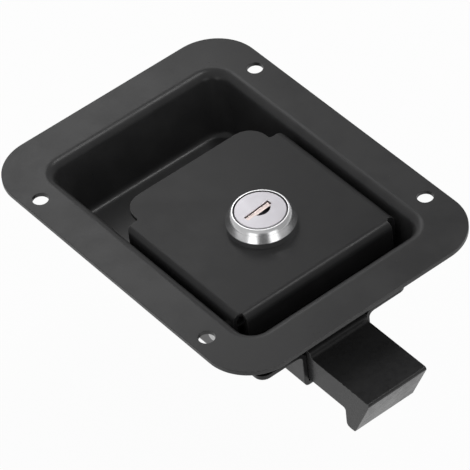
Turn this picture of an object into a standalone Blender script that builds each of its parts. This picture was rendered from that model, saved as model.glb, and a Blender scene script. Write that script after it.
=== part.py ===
"""Recessed paddle latch: a stamped dish with a keyed paddle and one spring-loaded slide bolt.

Metres, +Z out of the dish's open face, the bolt runs out along -Y and X is across. The origin is
the centre of the flange on its underside, the face that lies on the panel.
"""

import math

import bmesh
import bpy
from mathutils import Euler, Matrix, Vector

MM = 0.001

# Shared values
SEAT_GAP = 0.15 * MM
OVERRUN = 1.0 * MM
WELD_DISTANCE = 0.001 * MM
CORNER_STEPS = 6
ROUND_STEPS = 32
HOLE_STEPS = 20
WIRE_STEPS_PER_TURN = 12

# Dish and flange, one stamping
PAN_SHEET = 1.2 * MM
FLANGE_WIDTH = 82.8 * MM
FLANGE_LENGTH = 111.1 * MM
FLANGE_CORNER_RADIUS = 13.75 * MM
SCREW_HOLE_DIAMETER = 4.5 * MM
SCREW_SIDE_INSET = 4.6 * MM
SCREW_END_INSET = 20.45 * MM
DISH_DEPTH = 19.1 * MM
DISH_FLOOR_WIDTH = 54.4 * MM
DISH_FLOOR_LENGTH = 78.4 * MM
DISH_DRAFT_X = 1.5 * MM
DISH_DRAFT_Y = 3.2 * MM
ROLL_RADIUS = 3.0 * MM
OPENING_CORNER_RADIUS = 5.0 * MM
FLOOR_CORNER_RADIUS = 6.0 * MM
FLOOR_BEND_RADIUS = 2.0 * MM
ROLL_STEPS = 6
BEND_STEPS = 4
FLOOR_SLOT_WIDTH = 14.0 * MM
FLOOR_SLOT_REAR_Y = 9.0 * MM
FLOOR_SLOT_RADIUS = 1.5 * MM
STOP_GAP = 0.3 * MM

SCREW_SPACING_X = FLANGE_WIDTH - 2 * SCREW_SIDE_INSET
SCREW_SPACING_Y = FLANGE_LENGTH - 2 * SCREW_END_INSET
FACE_Z = PAN_SHEET
FLOOR_Z = FACE_Z - DISH_DEPTH
FLOOR_UNDER_Z = FLOOR_Z - PAN_SHEET

# Paddle, a folded sheet lid
PADDLE_SHEET = 1.2 * MM
PADDLE_INSET = 0.9 * MM
PADDLE_SIDE_GAP = 1.5 * MM
PADDLE_FRONT_Y = -36.0 * MM
PADDLE_BEND_RADIUS = 2.4 * MM
SHOULDER_Y = 11.5 * MM
SHOULDER_RADIUS = 2.5 * MM
NOTCH_RADIUS = 0.8 * MM
GRIP_END_Y = 19.1 * MM
GRIP_SETBACK = 4.8 * MM
GRIP_CORNER_RADIUS = 6.0 * MM
SIDE_FLANGE_DEPTH = 10.1 * MM
SIDE_FLANGE_SETBACK = 0.2 * MM
FRONT_FLANGE_DEPTH = 8.6 * MM
RELIEF_DEPTH = 2.1 * MM
RELIEF_WIDTH = 1.6 * MM
RELIEF_END_WIDTH = 0.7 * MM
RELIEF_RADIUS = 0.3 * MM

PADDLE_WIDTH = DISH_FLOOR_WIDTH + 2 * (DISH_DRAFT_X - PADDLE_SIDE_GAP)
GRIP_WIDTH = PADDLE_WIDTH - 2 * GRIP_SETBACK
FRONT_FLANGE_WIDTH = PADDLE_WIDTH - 2 * (PADDLE_SHEET + RELIEF_WIDTH)
SIDE_FLANGE_FRONT_Y = PADDLE_FRONT_Y + SIDE_FLANGE_SETBACK
PADDLE_TOP_Z = FACE_Z - PADDLE_INSET
PADDLE_UNDER_Z = PADDLE_TOP_Z - PADDLE_SHEET

# Hinge pin across the dish, with a clip in a groove at each end
HINGE_Y = -30.0 * MM
HINGE_DEPTH = 7.0 * MM
PIN_DIAMETER = 3.2 * MM
PIN_CLEARANCE = 0.15 * MM
PIN_END_LENGTH = 2.4 * MM
PIN_CHAMFER = 0.4 * MM
CLIP_THICKNESS = 0.6 * MM
CLIP_RADIUS = 3.1 * MM
CLIP_MOUTH_WIDTH = 1.9 * MM
CLIP_WALL_GAP = 0.35 * MM
GROOVE_DEPTH = 0.4 * MM

HINGE_Z = FACE_Z - HINGE_DEPTH
PIN_RADIUS = PIN_DIAMETER / 2

# Trigger lever, a folded tongue welded under the paddle
LEVER_SHEET = 2.0 * MM
TONGUE_WIDTH = 8.4 * MM
TONGUE_PIN_GAP = 0.3 * MM
TONGUE_END_LIFT = 1.3 * MM
LEVER_BEND_RADIUS = 2.6 * MM
LEVER_FOOT_SETBACK = 7.7 * MM
LEVER_TAB_WIDTH = 6.0 * MM
LEVER_STRIP_DEPTH = 1.8 * MM
LEVER_STRIP_SETBACK = 0.6 * MM
LEVER_SLIT_WIDTH = 0.8 * MM
LEVER_TAB_DEPTH = 7.6 * MM

LEVER_FOOT_WIDTH = PADDLE_WIDTH - 2 * LEVER_FOOT_SETBACK
TONGUE_FRONT_Y = HINGE_Y + PIN_RADIUS + TONGUE_PIN_GAP
TONGUE_REAR_Y = TONGUE_FRONT_Y + LEVER_SHEET
LEVER_TOP_Z = PADDLE_UNDER_Z - SEAT_GAP

# Slide bolt, a casting with a hooked nose and a ramp in front
BOLT_WIDTH = 19.7 * MM
BOLT_HEIGHT = 10.6 * MM
BOLT_TOP_GAP = 0.4 * MM
BOLT_FRONT_DROP = 1.8 * MM
BOLT_STEP_Y = -41.6 * MM
BOLT_STEP_RADIUS = 0.8 * MM
BOLT_NOSE_Y = -64.7 * MM
BOLT_NOSE_RADIUS = 0.6 * MM
RAMP_TOP_DROP = 0.9 * MM
HOOK_DROP = 6.35 * MM
HOOK_BACK_Y = -54.65 * MM
HOOK_TIP_Y = -58.0 * MM
HOOK_FRONT_RADIUS = 1.0 * MM
HOOK_BACK_RADIUS = 1.2 * MM
BOLT_EDGE_RADIUS = 0.4 * MM
POCKET_WIDTH = 9.2 * MM
POCKET_SLAM_LENGTH = 10.0 * MM
TONGUE_REAR_GAP = 0.4 * MM
TAIL_WALL = 2.5 * MM
TAIL_HEIGHT = 5.9 * MM
SPRING_BORE_DIAMETER = 3.6 * MM
SPRING_BORE_DEPTH = 12.0 * MM
SPRING_BORE_SPACING = 14.6 * MM
SPRING_BORE_HEIGHT = 2.95 * MM
BOLT_TRAVEL = 9.6 * MM
TRAVEL_GAP = 0.45 * MM

BOLT_TOP_Z = FLOOR_UNDER_Z - BOLT_TOP_GAP
BOLT_FRONT_TOP_Z = BOLT_TOP_Z - BOLT_FRONT_DROP
BOLT_BOTTOM_Z = BOLT_TOP_Z - BOLT_HEIGHT
POCKET_REAR_Y = TONGUE_REAR_Y + TONGUE_REAR_GAP
POCKET_FRONT_Y = TONGUE_FRONT_Y - POCKET_SLAM_LENGTH
BOLT_REAR_Y = POCKET_REAR_Y + TAIL_WALL
TAIL_TOP_Z = BOLT_BOTTOM_Z + TAIL_HEIGHT
SPRING_Z = BOLT_BOTTOM_Z + SPRING_BORE_HEIGHT

# Bolt housing, a hat-section bracket riveted under the dish floor
HOUSING_SHEET = 1.3 * MM
HOUSING_FRONT_Y = -40.2 * MM
HOUSING_SIDE_INSET = 2.1 * MM
HOUSING_CORNER_RADIUS = 2.8 * MM
HOUSING_SIDE_GAP = 0.3 * MM
HOUSING_WEB_GAP = 0.6 * MM
HOUSING_TOP_BEND_RADIUS = 1.6 * MM
HOUSING_WEB_BEND_RADIUS = 1.5 * MM
HOUSING_PLATE_REAR_Y = -17.6 * MM
HOUSING_WALL_RELIEF = 0.8 * MM
HOUSING_BEND_STEPS = 4

HOUSING_PLATE_WIDTH = DISH_FLOOR_WIDTH - 2 * HOUSING_SIDE_INSET
HOUSING_TOP_Z = FLOOR_UNDER_Z - SEAT_GAP
HOUSING_PLATE_UNDER_Z = HOUSING_TOP_Z - HOUSING_SHEET
HOUSING_WALL_X = BOLT_WIDTH / 2 + HOUSING_SIDE_GAP + HOUSING_SHEET
HOUSING_WEB_Z = BOLT_BOTTOM_Z - HOUSING_WEB_GAP - HOUSING_SHEET
HOUSING_TAB_Y = BOLT_REAR_Y + BOLT_TRAVEL + TRAVEL_GAP + HOUSING_SHEET

# Rivets through the dish floor and the bracket
RIVET_EDGE_INSET = 5.6 * MM
RIVET_FRONT_Y = -34.5 * MM
RIVET_REAR_Y = -22.5 * MM
RIVET_SHANK_RADIUS = 1.5 * MM
RIVET_HEAD_RADIUS = 2.7 * MM
RIVET_HEAD_HEIGHT = 1.0 * MM
RIVET_CLEARANCE = 0.2 * MM

# Springs
PADDLE_SPRING_WIRE = 1.1 * MM
PADDLE_SPRING_BORE_GAP = 0.25 * MM
PADDLE_SPRING_X = 9.5 * MM
PADDLE_SPRING_TURNS = 4
PADDLE_SPRING_PITCH = 1.3 * MM
PADDLE_SPRING_FLOOR_Y = -21.0 * MM
PADDLE_SPRING_FRONT_INSET = 1.0 * MM
BOLT_SPRING_WIRE = 0.5 * MM
BOLT_SPRING_DIAMETER = 3.2 * MM
BOLT_SPRING_TURNS = 11
BOLT_SPRING_END_PITCH = 0.75 * MM

# Lock cylinder with its bright collar, clamped in the paddle
LOCK_Y = -12.35 * MM
COLLAR_HEIGHT = 5.1 * MM
COLLAR_BAND_RADIUS = 9.7 * MM
COLLAR_BAND_HEIGHT = 1.2 * MM
COLLAR_SKIRT_RADIUS = 9.35 * MM
COLLAR_LIP_RADIUS = 7.8 * MM
COLLAR_LIP_ROUND = 0.25 * MM
COLLAR_SKIRT_STEPS = 6
COLLAR_SKIRT_BELLY = 0.42 * MM
LOCK_BODY_RADIUS = 8.5 * MM
LOCK_FLAT_WIDTH = 15.8 * MM
LOCK_BODY_LENGTH = 14.4 * MM
LOCK_REAR_WALL = 2.0 * MM
LOCK_FIT_GAP = 0.3 * MM
WASHER_RADIUS = 11.5 * MM
WASHER_SHEET = 0.8 * MM
NUT_ACROSS_FLATS = 22.0 * MM
NUT_HEIGHT = 4.0 * MM
NUT_SIDES = 6

# Plug, key flap and locking cam
PLUG_RADIUS = 7.0 * MM
PLUG_GAP = 0.3 * MM
PLUG_CHAMFER = 0.2 * MM
PLUG_TAIL_RADIUS = 3.2 * MM
PLUG_SQUARE = 4.5 * MM
KEYWAY_LENGTH = 8.6 * MM
KEYWAY_WIDTH = 1.7 * MM
KEYWAY_DEPTH = 9.0 * MM
KEYWAY_SHIFT_X = -0.6 * MM
KEYWAY_SHIFT_Y = 0.3 * MM
KEYWAY_TURN = math.radians(5)
KEYWAY_BULGE_START = 2.55 * MM
KEYWAY_BULGE_LENGTH = 5.5 * MM
KEYWAY_BULGE_SAG = 1.6 * MM
FLAP_INSET = 0.5 * MM
FLAP_SHEET = 0.35 * MM
FLAP_GAP = 0.15 * MM
FLAP_PIVOT_RADIUS = 0.25 * MM
FLAP_PIVOT_EDGE = 0.3 * MM
FLAP_PIVOT_END = 0.5 * MM
CAM_FLOOR_GAP = 0.7 * MM
CAM_SHEET = 1.6 * MM
CAM_LENGTH = 15.0 * MM
CAM_WIDTH = 7.6 * MM
CAM_END_RADIUS = 1.5 * MM
CAM_SQUARE_GAP = 0.15 * MM
CAM_CLAMP = 0.2 * MM
CAM_WASHER_RADIUS = 3.4 * MM
CAM_WASHER_SHEET = 0.5 * MM
CAM_SCREW_RADIUS = 1.4 * MM
CAM_SCREW_HEAD_RADIUS = 2.7 * MM
CAM_SCREW_HEAD_HEIGHT = 1.4 * MM
CAM_SCREW_LENGTH = 6.0 * MM
CROSS_SLOT_WIDTH = 0.7 * MM
CROSS_SLOT_LENGTH = 3.0 * MM
CROSS_SLOT_DEPTH = 0.8 * MM

PLUG_FACE_Z = PADDLE_TOP_Z + COLLAR_HEIGHT
LOCK_REAR_Z = PADDLE_UNDER_Z - LOCK_BODY_LENGTH
CAM_TOP_Z = FLOOR_UNDER_Z - CAM_FLOOR_GAP
CAM_UNDER_Z = CAM_TOP_Z - CAM_SHEET
FLAP_PIVOT_Z = PLUG_FACE_Z - FLAP_INSET - FLAP_SHEET / 2


def clear_scene():
    for obj in list(bpy.data.objects):
        bpy.data.objects.remove(obj)


def new_collection(name):
    collection = bpy.data.collections.new(name)
    bpy.context.scene.collection.children.link(collection)
    return collection


def new_material(name, colour, roughness, metallic):
    material = bpy.data.materials.new(name)
    material.use_nodes = True
    shader = material.node_tree.nodes["Principled BSDF"]
    shader.inputs["Base Color"].default_value = (*colour, 1)
    shader.inputs["Roughness"].default_value = roughness
    shader.inputs["Metallic"].default_value = metallic
    return material


def finish_part(obj, material):
    """Puts a finished piece in the latch's collection, smooth where it is round, with its material."""
    move_to(obj, parts)
    obj.data.materials.clear()
    obj.data.materials.append(material)
    obj.data.shade_smooth()
    obj.data.set_sharp_from_angle(angle=math.radians(35))
    return obj


def move_to(obj, collection):
    for other in list(obj.users_collection):
        other.objects.unlink(obj)
    collection.objects.link(obj)


def cut(target, cutter, operation="DIFFERENCE"):
    """Adds a Boolean to the target, and keeps its cutter as a hidden wire in the cutters' collection."""
    move_to(cutter, cutters)
    cutter.hide_render = True
    cutter.display_type = "WIRE"
    boolean = target.modifiers.new(cutter.name, "BOOLEAN")
    boolean.operation = operation
    boolean.solver = "EXACT"
    boolean.object = cutter


def mesh_object(name, bm):
    mesh = bpy.data.meshes.new(name)
    bm.to_mesh(mesh)
    bm.free()
    obj = bpy.data.objects.new(name, mesh)
    parts.objects.link(obj)
    return obj


def curve_as_mesh(obj):
    """The curve object as a mesh object of the same name and place, its caps welded to its sides."""
    parts.objects.link(obj)
    bpy.context.view_layer.update()
    name = obj.name
    place = obj.matrix_world.copy()
    mesh = bpy.data.meshes.new_from_object(obj.evaluated_get(bpy.context.evaluated_depsgraph_get()))
    bpy.data.objects.remove(obj)
    bm = bmesh.new()
    bm.from_mesh(mesh)
    bmesh.ops.remove_doubles(bm, verts=bm.verts, dist=WELD_DISTANCE)
    bmesh.ops.recalc_face_normals(bm, faces=bm.faces)
    bpy.data.meshes.remove(mesh)
    solid = mesh_object(name, bm)
    solid.matrix_world = place
    return solid


def box(name, low, high):
    low, high = Vector(low), Vector(high)
    bpy.ops.mesh.primitive_cube_add(size=1, location=(low + high) / 2, scale=high - low)
    bpy.ops.object.transform_apply(location=False, rotation=False, scale=True)
    bpy.context.object.name = name
    return bpy.context.object


def rod(name, radius, start, end, steps=HOLE_STEPS):
    """A cylinder from one point to another."""
    start, end = Vector(start), Vector(end)
    along = end - start
    bpy.ops.mesh.primitive_cylinder_add(
        vertices=steps,
        radius=radius,
        depth=along.length,
        location=(start + end) / 2,
        rotation=along.to_track_quat("Z", "Y").to_euler(),
    )
    bpy.context.object.name = name
    return bpy.context.object


def turned(name, profile, steps=ROUND_STEPS, ring=False):
    """A solid turned about Z from a profile of (radius, height) points, run down its outer side."""
    bm = bmesh.new()
    points = [bm.verts.new((radius, 0, height)) for radius, height in profile]
    for first, second in zip(points, points[1:]):
        bm.edges.new((first, second))
    if ring:
        bm.edges.new((points[-1], points[0]))
    obj = mesh_object(name, bm)
    screw = obj.modifiers.new("Turn", "SCREW")
    screw.steps = steps
    screw.render_steps = steps
    screw.use_merge_vertices = True
    screw.merge_threshold = WELD_DISTANCE
    return obj


def rounded(corners, steps=CORNER_STEPS):
    """An outline's points from corners of (x, y, radius), each rounded by a tangent arc."""
    points = [Vector((x, y)) for x, y, _ in corners]
    outline = []
    for index, (_, _, radius) in enumerate(corners):
        corner = points[index]
        if radius == 0:
            outline.append(corner)
            continue
        back = (points[index - 1] - corner).normalized()
        on = (points[(index + 1) % len(points)] - corner).normalized()
        half = back.angle(on) / 2
        centre = corner + (back + on).normalized() * radius / math.sin(half)
        start = corner + back * radius / math.tan(half) - centre
        turn = math.copysign(math.pi - 2 * half, back.cross(on) * -1)
        for step in range(steps + 1):
            outline.append(centre + Matrix.Rotation(turn * step / steps, 2) @ start)
    return outline


def mirrored(corners):
    """The corners of a right half, run from front to back, with the left half that mirrors it."""
    return corners + [(-x, y, radius) for x, y, radius in reversed(corners)]


def rectangle(half_x, low_y, high_y, radius):
    return mirrored([(half_x, low_y, radius), (half_x, high_y, radius)])


def circle(radius, steps=ROUND_STEPS):
    return [
        Vector((radius, 0)) @ Matrix.Rotation(-math.tau * step / steps, 2) for step in range(steps)
    ]


def plate(name, outlines, low, high, place=None):
    """A flat piece: outlines, of which any after the first are holes, filled from low to high along Z."""
    curve = bpy.data.curves.new(name, "CURVE")
    curve.dimensions = "2D"
    curve.fill_mode = "BOTH"
    curve.extrude = (high - low) / 2
    for outline in outlines:
        spline = curve.splines.new("POLY")
        spline.points.add(len(outline) - 1)
        spline.use_cyclic_u = True
        for point, (x, y) in zip(spline.points, outline):
            point.co = (x, y, 0, 1)
    obj = bpy.data.objects.new(name, curve)
    middle = Matrix.Translation((0, 0, (low + high) / 2))
    obj.matrix_world = (place or Matrix()) @ middle
    return curve_as_mesh(obj)


def wire(name, points, diameter, material):
    """A round wire along points, with closed ends."""
    curve = bpy.data.curves.new(name, "CURVE")
    curve.dimensions = "3D"
    curve.bevel_depth = diameter / 2
    curve.bevel_resolution = 2
    curve.use_fill_caps = True
    spline = curve.splines.new("POLY")
    spline.points.add(len(points) - 1)
    for point, place in zip(spline.points, points):
        point.co = (*place, 1)
    curve.materials.append(material)
    obj = bpy.data.objects.new(name, curve)
    parts.objects.link(obj)
    return obj


def arc_points(centre, radius, start, end, steps):
    """Points on an arc, as (first, second) coordinates, between two angles in degrees."""
    angles = [math.radians(start + (end - start) * step / steps) for step in range(steps + 1)]
    return [(centre[0] + radius * math.cos(a), centre[1] + radius * math.sin(a)) for a in angles]


def drawn_profile(profile, front, rear):
    """An open sheet surface: a profile of (x, z) points drawn along Y, and its row of front edges."""
    bm = bmesh.new()
    rows = [[bm.verts.new((x, y, z)) for x, z in profile] for y in (front, rear)]
    for index in range(len(profile) - 1):
        near, far = rows[0][index : index + 2], rows[1][index : index + 2]
        bm.faces.new((near[0], near[1], far[1], far[0]))
    return bm, rows


def fold(bm, edge, axis_point, angle, steps, reach):
    """Bends a sheet's straight edge about an X axis through axis_point, then draws it on by reach."""
    bent = bmesh.ops.spin(
        bm, geom=[edge, *edge.verts], cent=axis_point, axis=(1, 0, 0), angle=angle, steps=steps
    )
    last = [item for item in bent["geom_last"] if isinstance(item, bmesh.types.BMEdge)]
    pulled = bmesh.ops.extrude_edge_only(bm, edges=last)
    ends = [item for item in pulled["geom"] if isinstance(item, bmesh.types.BMVert)]
    bmesh.ops.translate(bm, verts=ends, vec=reach)


def sheet(name, bm, thickness, face_up):
    """Gives an open surface its wall on the side that its flat faces turn from."""
    bmesh.ops.remove_doubles(bm, verts=bm.verts, dist=WELD_DISTANCE)
    bmesh.ops.recalc_face_normals(bm, faces=bm.faces)
    flattest = max(bm.faces, key=lambda face: face.calc_area() * abs(face.normal.z))
    if (flattest.normal.z > 0) != face_up:
        bmesh.ops.reverse_faces(bm, faces=bm.faces)
    obj = mesh_object(name, bm)
    wall = obj.modifiers.new("Wall", "SOLIDIFY")
    wall.thickness = thickness
    wall.offset = -1
    wall.use_even_offset = True
    wall.use_quality_normals = True
    return obj


def joint_empty(name, location, parent=None):
    empty = bpy.data.objects.new(name, None)
    empty.empty_display_size = PIN_DIAMETER
    empty.location = location
    parts.objects.link(empty)
    if parent:
        carry(parent, empty)
    return empty


def carry(parent, *children):
    """Parents pieces where they stand."""
    bpy.context.view_layer.update()
    for child in children:
        child.parent = parent
        child.matrix_parent_inverse = parent.matrix_world.inverted()


def dish_half(depth, floor_size, draft):
    """Half the dish's size at a depth below its face: the roll, then the drafted wall, then the bend."""
    slope = math.atan2(draft, DISH_DEPTH - ROLL_RADIUS)
    wall = floor_size / 2 + (DISH_DEPTH - depth) * math.tan(slope)
    if depth < ROLL_RADIUS * (1 - math.sin(slope)):
        rise = ROLL_RADIUS - depth
        centre = wall + (depth - ROLL_RADIUS) * math.tan(slope) + ROLL_RADIUS / math.cos(slope)
        return centre - math.sqrt(ROLL_RADIUS**2 - rise**2)
    bend_drop = depth - (DISH_DEPTH - FLOOR_BEND_RADIUS)
    if bend_drop > FLOOR_BEND_RADIUS * math.sin(slope):
        centre = floor_size / 2 + FLOOR_BEND_RADIUS * (math.tan(slope) - 1 / math.cos(slope))
        return centre + math.sqrt(max(FLOOR_BEND_RADIUS**2 - bend_drop**2, 0))
    return wall


def dish_ring(depth):
    half_x = dish_half(depth, DISH_FLOOR_WIDTH, DISH_DRAFT_X)
    half_y = dish_half(depth, DISH_FLOOR_LENGTH, DISH_DRAFT_Y)
    share = depth / DISH_DEPTH
    slope = DISH_DRAFT_X / (DISH_DEPTH - ROLL_RADIUS)
    wall_x = DISH_FLOOR_WIDTH / 2 + (DISH_DEPTH - depth) * slope
    radius = OPENING_CORNER_RADIUS * (1 - share) + FLOOR_CORNER_RADIUS * share + half_x - wall_x
    outline = rounded(rectangle(half_x, -half_y, half_y, radius))
    return [(x, y, FACE_Z - depth) for x, y in outline]


def dish_wall_x(depth):
    """Half the width over the dish's outer walls at a depth below the face."""
    slope = math.atan2(DISH_DRAFT_X, DISH_DEPTH - ROLL_RADIUS)
    return dish_half(depth, DISH_FLOOR_WIDTH, DISH_DRAFT_X) + PAN_SHEET / math.cos(slope)


def make_pan():
    """The stamped dish: rings from the flange's edge over the roll, down the walls and on to the floor."""
    flange = rounded(
        rectangle(FLANGE_WIDTH / 2, -FLANGE_LENGTH / 2, FLANGE_LENGTH / 2, FLANGE_CORNER_RADIUS)
    )
    rings = [[(x, y, FACE_Z) for x, y in flange]]
    for step in range(ROLL_STEPS + 1):
        turn = math.pi / 2 * step / ROLL_STEPS
        rings.append(dish_ring(ROLL_RADIUS * (1 - math.cos(turn))))
    for step in range(BEND_STEPS + 1):
        turn = math.pi / 2 * step / BEND_STEPS
        rings.append(dish_ring(DISH_DEPTH - FLOOR_BEND_RADIUS * (1 - math.sin(turn))))
    bm = bmesh.new()
    loops = [[bm.verts.new(point) for point in ring] for ring in rings]
    for outer, inner in zip(loops, loops[1:]):
        for index in range(len(outer)):
            bm.faces.new((outer[index - 1], outer[index], inner[index], inner[index - 1]))
    bm.faces.new(loops[-1])
    pan = sheet("pan", bm, PAN_SHEET, face_up=True)

    for index, (side_x, side_y) in enumerate(((-1, -1), (1, -1), (1, 1), (-1, 1)), start=1):
        x, y = side_x * SCREW_SPACING_X / 2, side_y * SCREW_SPACING_Y / 2
        hole = rod(
            f"screw_hole_{index}", SCREW_HOLE_DIAMETER / 2, (x, y, -OVERRUN), (x, y, FACE_Z + OVERRUN)
        )
        cut(pan, hole)
    slot = rounded(
        rectangle(
            FLOOR_SLOT_WIDTH / 2, TONGUE_FRONT_Y - STOP_GAP, FLOOR_SLOT_REAR_Y, FLOOR_SLOT_RADIUS
        )
    )
    cut(pan, plate("floor_slot", [slot], FLOOR_UNDER_Z - OVERRUN, FLOOR_Z + OVERRUN))
    cut(pan, hinge_cutter("pan_pin_hole"))
    for index, (x, y) in enumerate(rivet_places(), start=1):
        cut(pan, rivet_cutter(f"floor_rivet_hole_{index}", x, y))
    return finish_part(pan, black_coat)


def hinge_cutter(name):
    reach = FLANGE_WIDTH / 2
    return rod(
        name,
        PIN_RADIUS + PIN_CLEARANCE,
        (-reach, HINGE_Y, HINGE_Z),
        (reach, HINGE_Y, HINGE_Z),
    )


def rivet_places():
    reach = HOUSING_PLATE_WIDTH / 2 - RIVET_EDGE_INSET
    return [(side * reach, y) for y in (RIVET_FRONT_Y, RIVET_REAR_Y) for side in (-1, 1)]


def rivet_cutter(name, x, y):
    return rod(
        name,
        RIVET_SHANK_RADIUS + RIVET_CLEARANCE,
        (x, y, HOUSING_PLATE_UNDER_Z - OVERRUN),
        (x, y, FLOOR_Z + OVERRUN),
    )


def make_rivet(name, x, y):
    """A rivet with a domed head on the dish floor and a flatter formed head under the bracket."""
    top = FLOOR_Z + SEAT_GAP
    bottom = HOUSING_PLATE_UNDER_Z - SEAT_GAP
    crown, foot = top + RIVET_HEAD_HEIGHT, bottom - RIVET_HEAD_HEIGHT
    shoulder_share, height_share = 0.6, 0.35
    profile = [
        (0, crown),
        (RIVET_HEAD_RADIUS * shoulder_share, crown),
        (RIVET_HEAD_RADIUS, top + RIVET_HEAD_HEIGHT * height_share),
        (RIVET_HEAD_RADIUS, top),
        (RIVET_SHANK_RADIUS, top),
        (RIVET_SHANK_RADIUS, bottom),
        (RIVET_HEAD_RADIUS, bottom),
        (RIVET_HEAD_RADIUS, bottom - RIVET_HEAD_HEIGHT * height_share),
        (RIVET_HEAD_RADIUS * shoulder_share, foot),
        (0, foot),
    ]
    rivet = turned(name, profile, HOLE_STEPS)
    rivet.location = (x, y, 0)
    return finish_part(rivet, black_coat)


def make_housing():
    """The hat-section bracket: plates under the floor, walls beside the bolt, a web and a rear tab."""
    low_bend = HOUSING_WEB_Z + HOUSING_WEB_BEND_RADIUS
    web_half = HOUSING_WALL_X - HOUSING_WEB_BEND_RADIUS
    top_bend_x = HOUSING_WALL_X + HOUSING_TOP_BEND_RADIUS
    top_bend_z = HOUSING_PLATE_UNDER_Z - HOUSING_TOP_BEND_RADIUS
    right = [(web_half, HOUSING_WEB_Z)]
    right += arc_points((web_half, low_bend), HOUSING_WEB_BEND_RADIUS, -90, 0, HOUSING_BEND_STEPS)[1:]
    right += arc_points((top_bend_x, top_bend_z), HOUSING_TOP_BEND_RADIUS, 180, 90, HOUSING_BEND_STEPS)
    right.append((HOUSING_PLATE_WIDTH / 2 + OVERRUN, HOUSING_PLATE_UNDER_Z))
    profile = [(-x, z) for x, z in reversed(right)] + right
    tab_bend_y = HOUSING_TAB_Y - HOUSING_WEB_BEND_RADIUS
    wall_rear = tab_bend_y - HOUSING_WALL_RELIEF
    bm, rows = drawn_profile(profile, HOUSING_FRONT_Y - OVERRUN, wall_rear)

    left_index = len(right) - 1
    web_edge = bm.edges.get((rows[1][left_index], rows[1][left_index + 1]))
    pulled = bmesh.ops.extrude_edge_only(bm, edges=[web_edge])["geom"]
    ends = [item for item in pulled if isinstance(item, bmesh.types.BMVert)]
    bmesh.ops.translate(bm, verts=ends, vec=(0, HOUSING_WALL_RELIEF, 0))
    tab_edge = next(item for item in pulled if isinstance(item, bmesh.types.BMEdge))
    tab_rise = TAIL_TOP_Z - low_bend
    fold(bm, tab_edge, (0, tab_bend_y, low_bend), math.pi / 2, HOUSING_BEND_STEPS, (0, 0, tab_rise))
    housing = sheet("bolt_housing", bm, HOUSING_SHEET, face_up=False)

    half = HOUSING_PLATE_WIDTH / 2
    wall_trim = HOUSING_WALL_X + HOUSING_TOP_BEND_RADIUS
    trim = rounded(
        mirrored(
            [
                (half, HOUSING_FRONT_Y, HOUSING_CORNER_RADIUS),
                (half, HOUSING_PLATE_REAR_Y, HOUSING_CORNER_RADIUS),
                (wall_trim, HOUSING_PLATE_REAR_Y, 0),
                (wall_trim, HOUSING_TAB_Y + OVERRUN, 0),
            ]
        )
    )
    cut(
        housing,
        plate("housing_trim", [trim], HOUSING_WEB_Z - OVERRUN, HOUSING_TOP_Z + OVERRUN),
        "INTERSECT",
    )
    rear_cut = box(
        "housing_rear_cut",
        (-wall_trim - OVERRUN, HOUSING_PLATE_REAR_Y, TAIL_TOP_Z - BOLT_TOP_GAP),
        (wall_trim + OVERRUN, HOUSING_TAB_Y + OVERRUN, HOUSING_TOP_Z + OVERRUN),
    )
    cut(housing, rear_cut)
    for index, (x, y) in enumerate(rivet_places(), start=1):
        cut(housing, rivet_cutter(f"plate_rivet_hole_{index}", x, y))
    return finish_part(housing, black_coat)


def make_paddle():
    """The folded lid: a flat top with side flanges and a front flange, trimmed to the grip's outline."""
    half = PADDLE_WIDTH / 2
    bend_x = half - PADDLE_BEND_RADIUS
    bend_z = PADDLE_TOP_Z - PADDLE_BEND_RADIUS
    bend_y = PADDLE_FRONT_Y + PADDLE_BEND_RADIUS
    side_low = PADDLE_TOP_Z - SIDE_FLANGE_DEPTH
    right = arc_points((bend_x, bend_z), PADDLE_BEND_RADIUS, 90, 0, CORNER_STEPS)
    right.append((half, side_low))
    profile = [(-x, z) for x, z in reversed(right)] + right
    bm, rows = drawn_profile(profile, bend_y, GRIP_END_Y + OVERRUN)
    top_index = len(right) - 1
    front_edge = bm.edges.get((rows[0][top_index], rows[0][top_index + 1]))
    front_drop = FRONT_FLANGE_DEPTH - PADDLE_BEND_RADIUS
    fold(bm, front_edge, (0, bend_y, bend_z), math.pi / 2, CORNER_STEPS, (0, 0, -front_drop))
    paddle = sheet("paddle", bm, PADDLE_SHEET, face_up=True)

    front_half = FRONT_FLANGE_WIDTH / 2
    relief_rear = PADDLE_FRONT_Y + RELIEF_DEPTH
    grip_half = GRIP_WIDTH / 2
    outline = rounded(
        mirrored(
            [
                (front_half, PADDLE_FRONT_Y - OVERRUN, 0),
                (front_half, relief_rear, RELIEF_RADIUS),
                (front_half + RELIEF_END_WIDTH, relief_rear, RELIEF_RADIUS),
                (half - PADDLE_SHEET, SIDE_FLANGE_FRONT_Y, 0),
                (half + OVERRUN, SIDE_FLANGE_FRONT_Y, 0),
                (half + OVERRUN, SHOULDER_Y - SHOULDER_RADIUS, 0),
                (half, SHOULDER_Y - SHOULDER_RADIUS, 0),
                (half, SHOULDER_Y, SHOULDER_RADIUS),
                (grip_half, SHOULDER_Y, NOTCH_RADIUS),
                (grip_half, GRIP_END_Y, GRIP_CORNER_RADIUS),
            ]
        )
    )
    cut(
        paddle,
        plate("paddle_trim", [outline], side_low - OVERRUN, PADDLE_TOP_Z + OVERRUN),
        "INTERSECT",
    )
    lock_hole = lock_section(LOCK_FIT_GAP)
    cut(
        paddle,
        plate(
            "lock_hole", [lock_hole], PADDLE_UNDER_Z - OVERRUN, PADDLE_TOP_Z + OVERRUN, lock_place()
        ),
    )
    cut(paddle, hinge_cutter("paddle_pin_hole"))
    return finish_part(paddle, black_coat)


def lock_place():
    return Matrix.Translation((0, LOCK_Y, 0))


def lock_section(gap):
    """The lock body's round section with its two flats, grown by a gap."""
    flat = LOCK_FLAT_WIDTH / 2 + gap
    return [Vector((max(-flat, min(flat, x)), y)) for x, y in circle(LOCK_BODY_RADIUS + gap)]


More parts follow.
